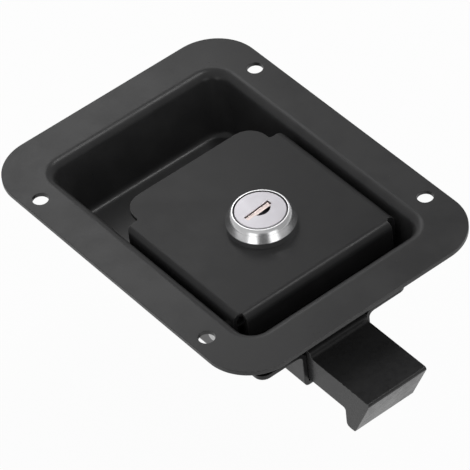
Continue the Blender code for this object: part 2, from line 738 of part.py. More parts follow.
def make_hinge_pin():
    """The pin across the dish, with a clip groove near each end."""
    wall = dish_wall_x(HINGE_DEPTH)
    end = wall + PIN_END_LENGTH
    groove_in = wall + CLIP_WALL_GAP - SEAT_GAP
    groove_out = groove_in + CLIP_THICKNESS + 2 * SEAT_GAP
    neck = PIN_RADIUS - GROOVE_DEPTH
    half = [
        (0, end),
        (PIN_RADIUS - PIN_CHAMFER, end),
        (PIN_RADIUS, end - PIN_CHAMFER),
        (PIN_RADIUS, groove_out),
        (neck, groove_out),
        (neck, groove_in),
        (PIN_RADIUS, groove_in),
    ]
    pin = turned("hinge_pin", half + [(r, -z) for r, z in reversed(half)], HOLE_STEPS)
    pin.rotation_euler = Euler((0, math.pi / 2, 0))
    pin.location = (0, HINGE_Y, HINGE_Z)
    return finish_part(pin, bare_steel)


def make_pin_clip(name, side):
    """A C-shaped clip in the pin's groove, open at the bottom."""
    inner = PIN_RADIUS - GROOVE_DEPTH + SEAT_GAP
    outer_open = math.degrees(math.asin(CLIP_MOUTH_WIDTH / 2 / CLIP_RADIUS))
    inner_open = math.degrees(math.asin(CLIP_MOUTH_WIDTH / 2 / inner))
    around = arc_points((0, 0), CLIP_RADIUS, -90 + outer_open, 270 - outer_open, ROUND_STEPS)
    around += arc_points((0, 0), inner, 270 - inner_open, -90 + inner_open, HOLE_STEPS)
    low = dish_wall_x(HINGE_DEPTH) + CLIP_WALL_GAP
    across = Matrix.Translation((0, HINGE_Y, HINGE_Z)) @ Euler((math.pi / 2, 0, math.pi / 2)).to_matrix().to_4x4()
    if side < 0:
        low = -low - CLIP_THICKNESS
    clip = plate(name, [around], low, low + CLIP_THICKNESS, across)
    return finish_part(clip, bare_steel)


def make_trigger_lever():
    """The folded lever: a foot with two weld tabs under the paddle, and the tongue that draws the bolt."""
    bend_y = TONGUE_FRONT_Y + LEVER_BEND_RADIUS
    bend_z = LEVER_TOP_Z - LEVER_BEND_RADIUS
    tongue, foot = TONGUE_WIDTH / 2, LEVER_FOOT_WIDTH / 2
    tab = foot - LEVER_TAB_WIDTH
    slit = tongue + LEVER_SLIT_WIDTH
    columns = [-foot, -tab, -slit, -tongue, tongue, slit, tab, foot]
    places = (
        TONGUE_FRONT_Y + LEVER_STRIP_SETBACK,
        bend_y,
        TONGUE_REAR_Y + LEVER_STRIP_DEPTH,
        bend_y + LEVER_TAB_DEPTH,
    )
    bm = bmesh.new()
    rows = [[bm.verts.new((x, y, LEVER_TOP_Z)) for x in columns] for y in places]
    last = len(columns) - 2
    for row, wanted in ((0, (0, 1, last - 1, last)), (1, range(last + 1)), (2, (0, last))):
        for column in wanted:
            near, far = rows[row][column : column + 2], rows[row + 1][column : column + 2]
            bm.faces.new((near[0], near[1], far[1], far[0]))
    edge = bm.edges.get((rows[1][3], rows[1][4]))
    for vert in [vert for vert in bm.verts if not vert.link_faces]:
        bm.verts.remove(vert)
    drop = bend_z - BOLT_BOTTOM_Z - TONGUE_END_LIFT
    fold(bm, edge, (0, bend_y, bend_z), math.pi / 2, CORNER_STEPS, (0, 0, -drop))
    lever = sheet("trigger_lever", bm, LEVER_SHEET, face_up=True)
    return finish_part(lever, bare_steel)


def tangent_angle(radius, target, side):
    """Angle on a circle about the origin where a straight line from target touches it."""
    first, second = target
    return math.atan2(second, first) + side * math.acos(radius / math.hypot(first, second))


def make_paddle_spring():
    """Torsion spring round the pin: one arm on the dish floor, the other under the paddle's front."""
    half_wire = PADDLE_SPRING_WIRE / 2
    radius = PIN_RADIUS + PADDLE_SPRING_BORE_GAP + half_wire
    floor_end = (PADDLE_SPRING_FLOOR_Y - HINGE_Y, FLOOR_Z + half_wire + SEAT_GAP - HINGE_Z)
    front_end = (
        PADDLE_FRONT_Y + PADDLE_SHEET + half_wire + PADDLE_SPRING_FRONT_INSET - HINGE_Y,
        PADDLE_UNDER_Z - half_wire - SEAT_GAP - HINGE_Z,
    )
    start = tangent_angle(radius, floor_end, 1)
    end = tangent_angle(radius, front_end, -1) + math.tau * PADDLE_SPRING_TURNS
    steps = round((end - start) / math.tau * WIRE_STEPS_PER_TURN)
    rear_x = PADDLE_SPRING_X + PADDLE_SPRING_PITCH * (end - start) / math.tau
    points = [(PADDLE_SPRING_X, HINGE_Y + floor_end[0], HINGE_Z + floor_end[1])]
    for step in range(steps + 1):
        turn = start + (end - start) * step / steps
        x = PADDLE_SPRING_X + (rear_x - PADDLE_SPRING_X) * step / steps
        points.append((x, HINGE_Y + radius * math.cos(turn), HINGE_Z + radius * math.sin(turn)))
    points.append((rear_x, HINGE_Y + front_end[0], HINGE_Z + front_end[1]))
    return wire("paddle_spring", points, PADDLE_SPRING_WIRE, bare_steel)


def make_slide_bolt():
    """The bolt: a side outline with ramp and hook, then its edges, the tongue's pocket and two bores."""
    hook_bottom = BOLT_BOTTOM_Z - HOOK_DROP
    corners = [
        (BOLT_REAR_Y, BOLT_BOTTOM_Z, 0),
        (BOLT_REAR_Y, TAIL_TOP_Z, 0),
        (POCKET_REAR_Y, TAIL_TOP_Z, 0),
        (POCKET_REAR_Y, BOLT_TOP_Z, 0),
        (BOLT_STEP_Y, BOLT_TOP_Z, BOLT_NOSE_RADIUS),
        (BOLT_STEP_Y, BOLT_FRONT_TOP_Z, BOLT_STEP_RADIUS),
        (BOLT_NOSE_Y, BOLT_FRONT_TOP_Z, BOLT_NOSE_RADIUS),
        (BOLT_NOSE_Y, BOLT_FRONT_TOP_Z - RAMP_TOP_DROP, 0),
        (HOOK_TIP_Y, hook_bottom, HOOK_FRONT_RADIUS),
        (HOOK_BACK_Y, hook_bottom, HOOK_BACK_RADIUS),
        (HOOK_BACK_Y, BOLT_BOTTOM_Z, BOLT_STEP_RADIUS),
    ]
    side_on = Euler((math.pi / 2, 0, math.pi / 2)).to_matrix().to_4x4()
    half = BOLT_WIDTH / 2
    bolt = plate("slide_bolt", [rounded(corners, CORNER_STEPS // 2)], -half, half, side_on)
    bevel = bolt.modifiers.new("Cast edges", "BEVEL")
    bevel.width = BOLT_EDGE_RADIUS
    bevel.segments = 2
    bevel.limit_method = "ANGLE"
    bevel.angle_limit = math.radians(50)

    pocket = box(
        "tongue_pocket",
        (-POCKET_WIDTH / 2, POCKET_FRONT_Y, BOLT_BOTTOM_Z - OVERRUN),
        (POCKET_WIDTH / 2, POCKET_REAR_Y, BOLT_TOP_Z + OVERRUN),
    )
    cut(bolt, pocket)
    for side, label in ((-1, "left"), (1, "right")):
        x = side * SPRING_BORE_SPACING / 2
        bore = rod(
            f"spring_bore_{label}",
            SPRING_BORE_DIAMETER / 2,
            (x, BOLT_REAR_Y - SPRING_BORE_DEPTH, SPRING_Z),
            (x, BOLT_REAR_Y + OVERRUN, SPRING_Z),
        )
        cut(bolt, bore)
    return finish_part(bolt, black_cast)


def make_bolt_spring(name, side):
    """A compression spring from its bore's bottom to the housing's rear tab, with closed end turns."""
    x = side * SPRING_BORE_SPACING / 2
    radius = (BOLT_SPRING_DIAMETER - BOLT_SPRING_WIRE) / 2
    start = BOLT_REAR_Y - SPRING_BORE_DEPTH + SEAT_GAP + BOLT_SPRING_WIRE / 2
    end = HOUSING_TAB_Y - HOUSING_SHEET - SEAT_GAP - BOLT_SPRING_WIRE / 2
    open_turns = BOLT_SPRING_TURNS - 2
    open_pitch = (end - start - 2 * BOLT_SPRING_END_PITCH) / open_turns
    points = []
    for step in range(BOLT_SPRING_TURNS * WIRE_STEPS_PER_TURN + 1):
        turn = step / WIRE_STEPS_PER_TURN
        opened = min(max(turn - 1, 0), open_turns)
        y = start + (turn - opened) * BOLT_SPRING_END_PITCH + opened * open_pitch
        angle = math.tau * turn
        points.append((x + radius * math.cos(angle), y, SPRING_Z + radius * math.sin(angle)))
    return wire(name, points, BOLT_SPRING_WIRE, bare_steel)


def make_lock_cylinder():
    """The collar on the paddle with the body behind it, bored for the plug, with two flats."""
    band_low = PADDLE_TOP_Z + SEAT_GAP
    band_top = PADDLE_TOP_Z + COLLAR_BAND_HEIGHT
    lip_low = PLUG_FACE_Z - COLLAR_LIP_ROUND
    bore = PLUG_RADIUS + PLUG_GAP
    tail_bore = PLUG_TAIL_RADIUS + PLUG_GAP
    profile = [(bore, PLUG_FACE_Z), (COLLAR_LIP_RADIUS - COLLAR_LIP_ROUND, PLUG_FACE_Z)]
    for step in range(COLLAR_SKIRT_STEPS + 1):
        share = step / COLLAR_SKIRT_STEPS
        belly = COLLAR_SKIRT_BELLY * math.sin(math.pi * share)
        radius = COLLAR_LIP_RADIUS + (COLLAR_SKIRT_RADIUS - COLLAR_LIP_RADIUS) * share + belly
        profile.append((radius, lip_low + (band_top - lip_low) * share))
    profile += [
        (COLLAR_BAND_RADIUS, band_top - COLLAR_LIP_ROUND),
        (COLLAR_BAND_RADIUS, band_low),
        (LOCK_BODY_RADIUS, band_low),
        (LOCK_BODY_RADIUS, LOCK_REAR_Z),
        (tail_bore, LOCK_REAR_Z),
        (tail_bore, LOCK_REAR_Z + LOCK_REAR_WALL),
        (bore, LOCK_REAR_Z + LOCK_REAR_WALL),
    ]
    cylinder = turned("lock_cylinder", profile, ring=True)
    cylinder.location = (0, LOCK_Y, 0)
    reach = LOCK_BODY_RADIUS + OVERRUN
    for side, label in ((-1, "left"), (1, "right")):
        flat = box(
            f"body_flat_{label}",
            (min(side * LOCK_FLAT_WIDTH / 2, side * reach), LOCK_Y - reach, LOCK_REAR_Z - OVERRUN),
            (max(side * LOCK_FLAT_WIDTH / 2, side * reach), LOCK_Y + reach, band_low),
        )
        cut(cylinder, flat)
    return finish_part(cylinder, bright_chrome)


def make_lock_washer():
    low = PADDLE_UNDER_Z - SEAT_GAP - WASHER_SHEET
    washer = plate(
        "lock_washer",
        [circle(WASHER_RADIUS), lock_section(LOCK_FIT_GAP)],
        low,
        low + WASHER_SHEET,
        lock_place(),
    )
    return finish_part(washer, bare_steel)


def make_lock_nut():
    high = PADDLE_UNDER_Z - 2 * SEAT_GAP - WASHER_SHEET
    corner_radius = NUT_ACROSS_FLATS / 2 / math.cos(math.pi / NUT_SIDES)
    nut = plate(
        "lock_nut",
        [circle(corner_radius, NUT_SIDES), circle(LOCK_BODY_RADIUS + LOCK_FIT_GAP)],
        high - NUT_HEIGHT,
        high,
        lock_place(),
    )
    return finish_part(nut, bare_steel)


def keyway_place():
    shift = Matrix.Translation((KEYWAY_SHIFT_X, LOCK_Y + KEYWAY_SHIFT_Y, 0))
    return shift @ Matrix.Rotation(KEYWAY_TURN, 4, "Z")


def keyway_outline():
    """The key slot: a long rectangle with a rounded bulge on the side towards the bolt."""
    half_length, half_width = KEYWAY_LENGTH / 2, KEYWAY_WIDTH / 2
    bulge_half = KEYWAY_BULGE_LENGTH / 2
    middle = -half_length + KEYWAY_BULGE_START + bulge_half
    radius = (bulge_half**2 + KEYWAY_BULGE_SAG**2) / (2 * KEYWAY_BULGE_SAG)
    spread = math.degrees(math.asin(bulge_half / radius))
    centre = (middle, -half_width - KEYWAY_BULGE_SAG + radius)
    bulge = arc_points(centre, radius, -90 - spread, -90 + spread, CORNER_STEPS)
    corners = [(half_length, -half_width), (half_length, half_width)]
    return [(-half_length, half_width), (-half_length, -half_width)] + bulge + corners


def flap_pivot_y():
    return KEYWAY_WIDTH / 2 - FLAP_PIVOT_EDGE


def make_lock_plug():
    """The turning plug: its face with the keyway, and a tail squared for the cam and bored for its screw."""
    body_low = LOCK_REAR_Z + LOCK_REAR_WALL + PLUG_GAP
    tail_low = CAM_UNDER_Z + CAM_CLAMP
    profile = [
        (0, PLUG_FACE_Z),
        (PLUG_RADIUS - PLUG_CHAMFER, PLUG_FACE_Z),
        (PLUG_RADIUS, PLUG_FACE_Z - PLUG_CHAMFER),
        (PLUG_RADIUS, body_low),
        (PLUG_TAIL_RADIUS, body_low),
        (PLUG_TAIL_RADIUS, tail_low),
        (0, tail_low),
    ]
    plug = turned("lock_plug", profile)
    plug.location = (0, LOCK_Y, 0)

    cut(
        plug,
        plate(
            "keyway",
            [keyway_outline()],
            PLUG_FACE_Z - KEYWAY_DEPTH,
            PLUG_FACE_Z + OVERRUN,
            keyway_place(),
        ),
    )
    reach = KEYWAY_LENGTH / 2 + FLAP_PIVOT_END + FLAP_GAP
    ends = [keyway_place() @ Vector((end, flap_pivot_y(), FLAP_PIVOT_Z)) for end in (-reach, reach)]
    cut(plug, rod("flap_pivot_hole", FLAP_PIVOT_RADIUS + FLAP_GAP, *ends, CORNER_STEPS * 2))
    clear = PLUG_TAIL_RADIUS + OVERRUN
    square = PLUG_SQUARE / 2
    squaring = plate(
        "tail_squaring",
        [rounded(rectangle(clear, -clear, clear, 0)), rounded(rectangle(square, -square, square, 0))],
        tail_low - OVERRUN,
        CAM_TOP_Z + SEAT_GAP,
        lock_place(),
    )
    cut(plug, squaring)
    cut(
        plug,
        rod(
            "cam_screw_hole",
            CAM_SCREW_RADIUS + SEAT_GAP,
            (0, LOCK_Y, tail_low - OVERRUN),
            (0, LOCK_Y, tail_low + CAM_SCREW_LENGTH),
        ),
    )
    return finish_part(plug, satin_nickel)


def make_key_shutter():
    """The small flap behind the keyway's face, on a pivot along the slot's far edge."""
    length = KEYWAY_LENGTH / 2 - FLAP_GAP
    near = -KEYWAY_WIDTH / 2 + FLAP_GAP
    flap = box(
        "key_shutter",
        (-length, near, -FLAP_SHEET / 2),
        (length, flap_pivot_y(), FLAP_SHEET / 2),
    )
    flap.data.transform(Matrix.Translation(flap.location - Vector((0, flap_pivot_y(), 0))))
    flap.matrix_world = keyway_place() @ Matrix.Translation((0, flap_pivot_y(), FLAP_PIVOT_Z))
    reach = KEYWAY_LENGTH / 2 + FLAP_PIVOT_END
    ends = [keyway_place() @ Vector((end, flap_pivot_y(), FLAP_PIVOT_Z)) for end in (-reach, reach)]
    cut(flap, rod("flap_pivot", FLAP_PIVOT_RADIUS, *ends, CORNER_STEPS * 2), "UNION")
    return finish_part(flap, shutter_bronze)


def make_lock_cam():
    """The locking arm on the plug's squared tail, pointing back along the floor slot when unlocked."""
    hub_round_share = 0.95
    half = CAM_WIDTH / 2
    arm = rounded(
        mirrored([(half, -half, half * hub_round_share), (half, CAM_LENGTH, CAM_END_RADIUS)])
    )
    square = PLUG_SQUARE / 2 + CAM_SQUARE_GAP
    hole = rounded(rectangle(square, -square, square, 0))
    cam = plate("lock_cam", [arm, hole], CAM_UNDER_Z, CAM_TOP_Z, lock_place())
    return finish_part(cam, bare_steel)


def make_cam_washer():
    high = CAM_UNDER_Z - SEAT_GAP
    washer = plate(
        "cam_washer",
        [circle(CAM_WASHER_RADIUS, HOLE_STEPS), circle(CAM_SCREW_RADIUS + LOCK_FIT_GAP, HOLE_STEPS)],
        high - CAM_WASHER_SHEET,
        high,
        lock_place(),
    )
    return finish_part(washer, bare_steel)


def make_cam_screw():
    """The screw that holds the cam, with a cross recess in its head."""
    head_top = CAM_UNDER_Z - 2 * SEAT_GAP - CAM_WASHER_SHEET
    head_low = head_top - CAM_SCREW_HEAD_HEIGHT
    round_share = 0.75
    profile = [
        (0, head_top + CAM_SCREW_LENGTH),
        (CAM_SCREW_RADIUS, head_top + CAM_SCREW_LENGTH),
        (CAM_SCREW_RADIUS, head_top),
        (CAM_SCREW_HEAD_RADIUS, head_top),
        (CAM_SCREW_HEAD_RADIUS, head_top - CAM_SCREW_HEAD_HEIGHT / 2),
        (CAM_SCREW_HEAD_RADIUS * round_share, head_low),
        (0, head_low),
    ]
    screw = turned("cam_screw", profile, HOLE_STEPS)
    screw.location = (0, LOCK_Y, 0)
    long, short = CROSS_SLOT_LENGTH / 2, CROSS_SLOT_WIDTH / 2
    for label, half_x, half_y in (("long", long, short), ("cross", short, long)):
        slot = box(
            f"screw_slot_{label}",
            (-half_x, LOCK_Y - half_y, head_low - OVERRUN),
            (half_x, LOCK_Y + half_y, head_low + CROSS_SLOT_DEPTH),
        )
        cut(screw, slot)
    return finish_part(screw, bare_steel)


clear_scene()
parts = new_collection("recessed_latch")
cutters = new_collection("cutters")

black_coat = new_material("black_coat", (0.035, 0.035, 0.036), 0.42, 0.0)
black_cast = new_material("black_cast", (0.02, 0.02, 0.021), 0.3, 0.0)
bright_chrome = new_material("bright_chrome", (0.78, 0.78, 0.79), 0.12, 1.0)
satin_nickel = new_material("satin_nickel", (0.62, 0.61, 0.64), 0.35, 1.0)
shutter_bronze = new_material("shutter_bronze", (0.66, 0.52, 0.48), 0.35, 1.0)
bare_steel = new_material("bare_steel", (0.5, 0.5, 0.51), 0.35, 1.0)

make_pan()
make_housing()
for number, (rivet_x, rivet_y) in enumerate(rivet_places(), start=1):
    make_rivet(f"housing_rivet_{number}", rivet_x, rivet_y)
make_hinge_pin()
make_pin_clip("pin_clip_left", -1)
make_pin_clip("pin_clip_right", 1)
make_bolt_spring("bolt_spring_left", -1)
make_bolt_spring("bolt_spring_right", 1)

hinge = joint_empty("paddle_hinge", (0, HINGE_Y, HINGE_Z))
carry(
    hinge,
    make_paddle(),
    make_trigger_lever(),
    make_paddle_spring(),
    make_lock_cylinder(),
    make_lock_washer(),
    make_lock_nut(),
)
slide = joint_empty("bolt_slide", (0, BOLT_REAR_Y, BOLT_BOTTOM_Z))
carry(slide, make_slide_bolt())
plug_axis = joint_empty("plug_axis", (0, LOCK_Y, PLUG_FACE_Z), hinge)
carry(plug_axis, make_lock_plug(), make_lock_cam(), make_cam_washer(), make_cam_screw())
shutter_axis = joint_empty(
    "shutter_axis", keyway_place() @ Vector((0, flap_pivot_y(), FLAP_PIVOT_Z)), plug_axis
)
carry(shutter_axis, make_key_shutter())
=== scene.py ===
"""Looks of the recessed paddle latch: black coated sheet, a bright keyed lock and bare steel inside.

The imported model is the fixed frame. Each sub-assembly welds copies of its nodes into smooth pieces,
adds the detail that its solids leave out and dresses everything in a procedural finish.
"""

import logging
import math
from abc import ABC, abstractmethod
from dataclasses import dataclass
from enum import Enum
from typing import Any

import bmesh
import bpy
from mathutils import Matrix, Vector


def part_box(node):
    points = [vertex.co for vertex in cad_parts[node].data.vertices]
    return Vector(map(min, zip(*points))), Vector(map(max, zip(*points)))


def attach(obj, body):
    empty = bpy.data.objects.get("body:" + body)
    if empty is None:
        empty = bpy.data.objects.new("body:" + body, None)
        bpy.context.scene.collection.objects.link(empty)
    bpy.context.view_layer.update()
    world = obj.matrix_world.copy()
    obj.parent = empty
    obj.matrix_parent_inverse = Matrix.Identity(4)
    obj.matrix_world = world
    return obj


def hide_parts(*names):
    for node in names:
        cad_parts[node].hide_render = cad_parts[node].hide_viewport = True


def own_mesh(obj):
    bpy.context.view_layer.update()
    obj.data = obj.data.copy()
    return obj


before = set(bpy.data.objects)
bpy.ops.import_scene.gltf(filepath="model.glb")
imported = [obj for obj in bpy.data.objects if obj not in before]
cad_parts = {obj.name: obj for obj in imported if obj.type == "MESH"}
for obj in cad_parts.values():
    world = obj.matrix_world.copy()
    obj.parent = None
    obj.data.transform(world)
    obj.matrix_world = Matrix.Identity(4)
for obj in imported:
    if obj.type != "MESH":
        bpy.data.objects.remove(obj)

log = logging.getLogger("latch")

MM = 0.001
OVERRUN = 1 * MM
WELD_REACH = 0.0005 * MM
FLAT_ANGLE = math.radians(0.5)
PLAIN_CREASE = 32
LARGE_FACE_WEIGHT = 100
NOISE_MIDDLE = 0.5
EDGE_SAMPLES = 8
Colour = tuple[float, float, float]
Point = tuple[float, float, float]


class Slot(Enum):
    """The record's material slots."""

    COAT = "black_coat"
    CAST = "black_cast"
    CHROME = "bright_chrome"
    NICKEL = "satin_nickel"
    BRONZE = "shutter_bronze"
    STEEL = "bare_steel"


class Body(Enum):
    """The frame's rigid bodies."""

    CASE = "case"
    PADDLE = "paddle"
    BOLT = "bolt"
    PLUG = "plug"
    SHUTTER = "shutter"


class Link:
    """An output socket of a node graph whose operators add Math nodes."""

    def __init__(self, graph: "Graph", socket: bpy.types.NodeSocket) -> None:
        """Wraps a socket.

        Args:
            graph: The graph that the socket belongs to.
            socket: The output socket.
        """
        self.graph = graph
        self.socket = socket

    def math(self, operation: str, *others: "Link | float", flipped: bool = False) -> "Link":
        """Adds a Math node.

        Args:
            operation: The Math node's operation.
            others: The other operands.
            flipped: Whether this socket comes after the first of the others.

        Returns:
            The node's result.
        """
        operands = [self, *others]
        if flipped:
            operands[0], operands[1] = operands[1], operands[0]
        return self.graph.node("ShaderNodeMath", dict(enumerate(operands)), operation=operation)

    def measured(self, operation: str, other: "Link | Point | None" = None) -> "Link":
        """Adds a Vector Math node that gives one number.

        Args:
            operation: The node's operation.
            other: The other vector, where the operation takes two.

        Returns:
            The number.
        """
        vectors = {0: self} if other is None else {0: self, 1: other}
        return self.graph.node("ShaderNodeVectorMath", vectors, "Value", operation=operation)

    def __add__(self, other: "Link | float") -> "Link":
        """The sum."""
        return self.math("ADD", other)

    def __sub__(self, other: "Link | float") -> "Link":
        """The difference."""
        return self.math("SUBTRACT", other)

    def __rsub__(self, other: "Link | float") -> "Link":
        """The difference from a number."""
        return self.math("SUBTRACT", other, flipped=True)

    def __mul__(self, other: "Link | float") -> "Link":
        """The product."""
        return self.math("MULTIPLY", other)

    def __truediv__(self, other: "Link | float") -> "Link":
        """The quotient."""
        return self.math("DIVIDE", other)

    def between(self, low: "Link | float", high: "Link | float") -> "Link":
        """The value held between a lower and an upper limit."""
        return self.math("MAXIMUM", low).math("MINIMUM", high)

    def stepped(self, low: float, high: float) -> "Link":
        """A smooth rise from zero at the low value to one at the high value."""
        ends = {0: self, 1: low, 2: high}
        return self.graph.node("ShaderNodeMapRange", ends, interpolation_type="SMOOTHSTEP")


class Graph:
    """A node tree under construction."""

    def __init__(self, tree: bpy.types.NodeTree) -> None:
        """Wraps a tree.

        Args:
            tree: A shader or geometry node tree.
        """
        self.tree = tree

    def node(
        self,
        kind: str,
        inputs: dict[str | int, Any] | None = None,
        out: str | int = 0,
        **settings: Any,
    ) -> Link:
        """Adds a node, sets it up and feeds its sockets.

        Args:
            kind: The node's type name.
            inputs: Values or links by socket name or number.
            out: The output wanted, by name or number.
            settings: The node's own properties.

        Returns:
            That output.
        """
        made = self.tree.nodes.new(kind)
        for name, value in settings.items():
            setattr(made, name, value)
        for name, value in (inputs or {}).items():
            self.feed(made.inputs[name], value)
        return Link(self, made.outputs[out] if made.outputs else None)

    def feed(self, socket: bpy.types.NodeSocket, value: Any) -> None:
        """Links or sets an input socket.

        Args:
            socket: The input socket.
            value: A link, or a value for its default.
        """
        if isinstance(value, Link):
            self.tree.links.new(value.socket, socket)
        else:
            socket.default_value = value

    def vector(self, x: Link | float, y: Link | float, z: Link | float) -> Link:
        """Joins three values into a vector."""
        return self.node("ShaderNodeCombineXYZ", {0: x, 1: y, 2: z})


@dataclass(frozen=True)
class Cells:
    """The sizes of a noise: its cells, its octaves and the share of the finer ones."""

    size: float
    octaves: int = 2
    finer_share: float = 0.5


class Shading(Graph):
    """A material's graph with its one Principled shader."""

    def __init__(self, name: str) -> None:
        """Starts a material.

        Args:
            name: The material's name.
        """
        self.material = bpy.data.materials.new(name)
        self.material.use_nodes = True
        super().__init__(self.material.node_tree)
        self.shader = self.tree.nodes["Principled BSDF"]
        self.place = self.node("ShaderNodeTexCoord", out="Object")

    def placed(self, shift: Point = (0, 0, 0), scale: Point = (1, 1, 1)) -> Link:
        """Object coordinates, stretched and then shifted.

        Args:
            shift: Added to the coordinates.
            scale: The coordinates' factors.

        Returns:
            The new coordinates.
        """
        moved = {"Vector": self.place, "Location": shift, "Scale": scale}
        return self.node("ShaderNodeMapping", moved)

    def noise(self, cells: Cells, at: Link | None = None) -> Link:
        """Noise over the surface.

        Args:
            cells: Its sizes.
            at: Coordinates, where not the object's.

        Returns:
            The noise value, around a half.
        """
        inputs = {"Vector": at or self.place, "Scale": 1 / cells.size}
        inputs |= {"Detail": cells.octaves, "Roughness": cells.finer_share}
        return self.node("ShaderNodeTexNoise", inputs)

    def swayed(self, level: float, *parts: tuple[Link, float]) -> Link:
        """A level that noises raise and lower.

        Args:
            level: The level.
            parts: Each noise with its share.

        Returns:
            The varied level.
        """
        total = level
        for noise, share in parts:
            total = (noise - NOISE_MIDDLE) * share + total
        return total

    def specks(self, cell: float, size_share: float, rarity: float, core_share: float = 0.5) -> Link:
        """Sparse round specks.

        Args:
            cell: Distance between the places where specks may be.
            size_share: Their radius as a share of the cell.
            rarity: Share of the places left empty.
            core_share: Share of the radius inside the soft rim.

        Returns:
            One inside a speck and zero elsewhere.
        """
        inputs = {"Vector": self.place, "Scale": 1 / cell}
        near = self.node("ShaderNodeTexVoronoi", inputs, "Distance")
        tone = Link(self, near.socket.node.outputs["Color"])
        pick = self.node("ShaderNodeSeparateColor", {0: tone}).math("GREATER_THAN", rarity)
        return (1 - near.stepped(size_share * core_share, size_share)) * pick

    def mixed(self, factor: Link, first: Colour | Link, second: Colour | Link) -> Link:
        """Mixes two colours.

        Args:
            factor: Share of the second colour.
            first: Linear colour at zero.
            second: Linear colour at one.

        Returns:
            The mixed colour.
        """
        ends = [end if isinstance(end, Link) else (*end, 1) for end in (first, second)]
        return self.node("ShaderNodeMix", {0: factor, 6: ends[0], 7: ends[1]}, 2, data_type="RGBA")

    def soft_edge(self, radius: float) -> Link:
        """A normal that rounds the sharp edges to a radius."""
        return self.node("ShaderNodeBevel", {"Radius": radius}, samples=EDGE_SAMPLES)

    def edge(self, soft: Link, least: float = 0.02, full: float = 0.2) -> Link:
        """Where the soft normal leaves the face's own: along edges, where the worn tone and painted
        edge highlight go.

        Args:
            soft: The soft normal.
            least: Departure where the edge starts.
            full: Departure where it is whole.

        Returns:
            One at an edge and zero on open faces.
        """
        own = self.node("ShaderNodeNewGeometry", out="Normal")
        return (1 - soft.measured("DOT_PRODUCT", own)).stepped(least, full)

    def bumped(self, height: Link, depth: float, normal: Link) -> Link:
        """A normal disturbed by a height.

        Args:
            height: The height, from zero to one.
            depth: What a height of one stands for.
            normal: The normal to start from.

        Returns:
            The new normal.
        """
        return self.node("ShaderNodeBump", {"Height": height, "Distance": depth, "Normal": normal})

    def finished(self, **sockets: Any) -> bpy.types.Material:
        """Feeds the shader.

        Args:
            sockets: Values or links by socket name, with _ for each space.

        Returns:
            The material.
        """
        for name, value in sockets.items():
            self.feed(self.shader.inputs[name.replace("_", " ")], value)
        return self.material


@dataclass(frozen=True)
class Finish(ABC):
    """A surface finish, built once as a material."""

    name: str
    slot: Slot

    @abstractmethod
    def build(self) -> bpy.types.Material:
        """Builds the material."""


@dataclass(frozen=True)
class BlackCoat(Finish):
    """Black coating: cloudy in sheen, with a fine orange peel, dust, and thin lighter edges that are
    partly wear and partly a painted edge highlight.
    """

    dark: Colour = (0.028, 0.028, 0.0285)
    light: Colour = (0.036, 0.036, 0.0365)
    # Edge tone: lighter where the coat is worn, and also a painted highlight along the rounded edges.
    worn_and_highlight: Colour = (0.16, 0.16, 0.158)
    dust: Colour = (0.16, 0.16, 0.155)
    roughness: float = 0.34
    cloud_dulling: float = 0.1
    peel_dulling: float = 0.07
    grain_dulling: float = 0.05
    sheen: float = 0.3
    broad: Cells = Cells(26 * MM, 3, 0.55)
    blotch: Cells = Cells(7 * MM, 3, 0.6)
    broad_share: float = 0.55
    cloud_ends: tuple[float, float] = (0.36, 0.64)
    peel: Cells = Cells(0.7 * MM, 2, 0.55)
    peel_depth: float = 0.004 * MM
    grain: Cells = Cells(0.18 * MM, 1)
    grain_relief: float = 0.2
    edge_radius: float = 0.3 * MM
    # Strength and onset of the edge tone, which is both wear and painted highlight.
    wear_and_highlight: float = 2.0
    wear_and_highlight_start: float = 0.3
    speck_cell: float = 3.2 * MM
    speck_share: float = 0.035
    speck_rarity: float = 0.86
    dust_share: float = 0.7

    def build(self) -> bpy.types.Material:
        """Builds the coat.

        Returns:
            The material.
        """
        shading = Shading(self.name)
        broad, blotch = shading.noise(self.broad), shading.noise(self.blotch)
        cloud = broad * self.broad_share + blotch * (1 - self.broad_share)
        cloud = cloud.stepped(*self.cloud_ends)
        peel, grain = shading.noise(self.peel), shading.noise(self.grain)
        soft = shading.soft_edge(self.edge_radius)
        # Lighter edge tone: partly real wear, partly a painted highlight along the rounded edges.
        rubbed_and_highlit = shading.edge(soft) * (peel - self.wear_and_highlight_start).between(0, 1) * self.wear_and_highlight
        specks = shading.specks(self.speck_cell, self.speck_share, self.speck_rarity)
        tone = shading.mixed(cloud, self.dark, self.light)
        tone = shading.mixed(rubbed_and_highlit, tone, self.worn_and_highlight)
        tone = shading.mixed(specks * self.dust_share, tone, self.dust)
        dulling = (cloud, self.cloud_dulling), (peel, self.peel_dulling), (grain, self.grain_dulling)
        rough = shading.swayed(self.roughness, *dulling)
        normal = shading.bumped(peel + grain * self.grain_relief, self.peel_depth, soft)
        shading.finished(Specular_IOR_Level=self.sheen)
        return shading.finished(Base_Color=tone, Roughness=rough, Normal=normal)


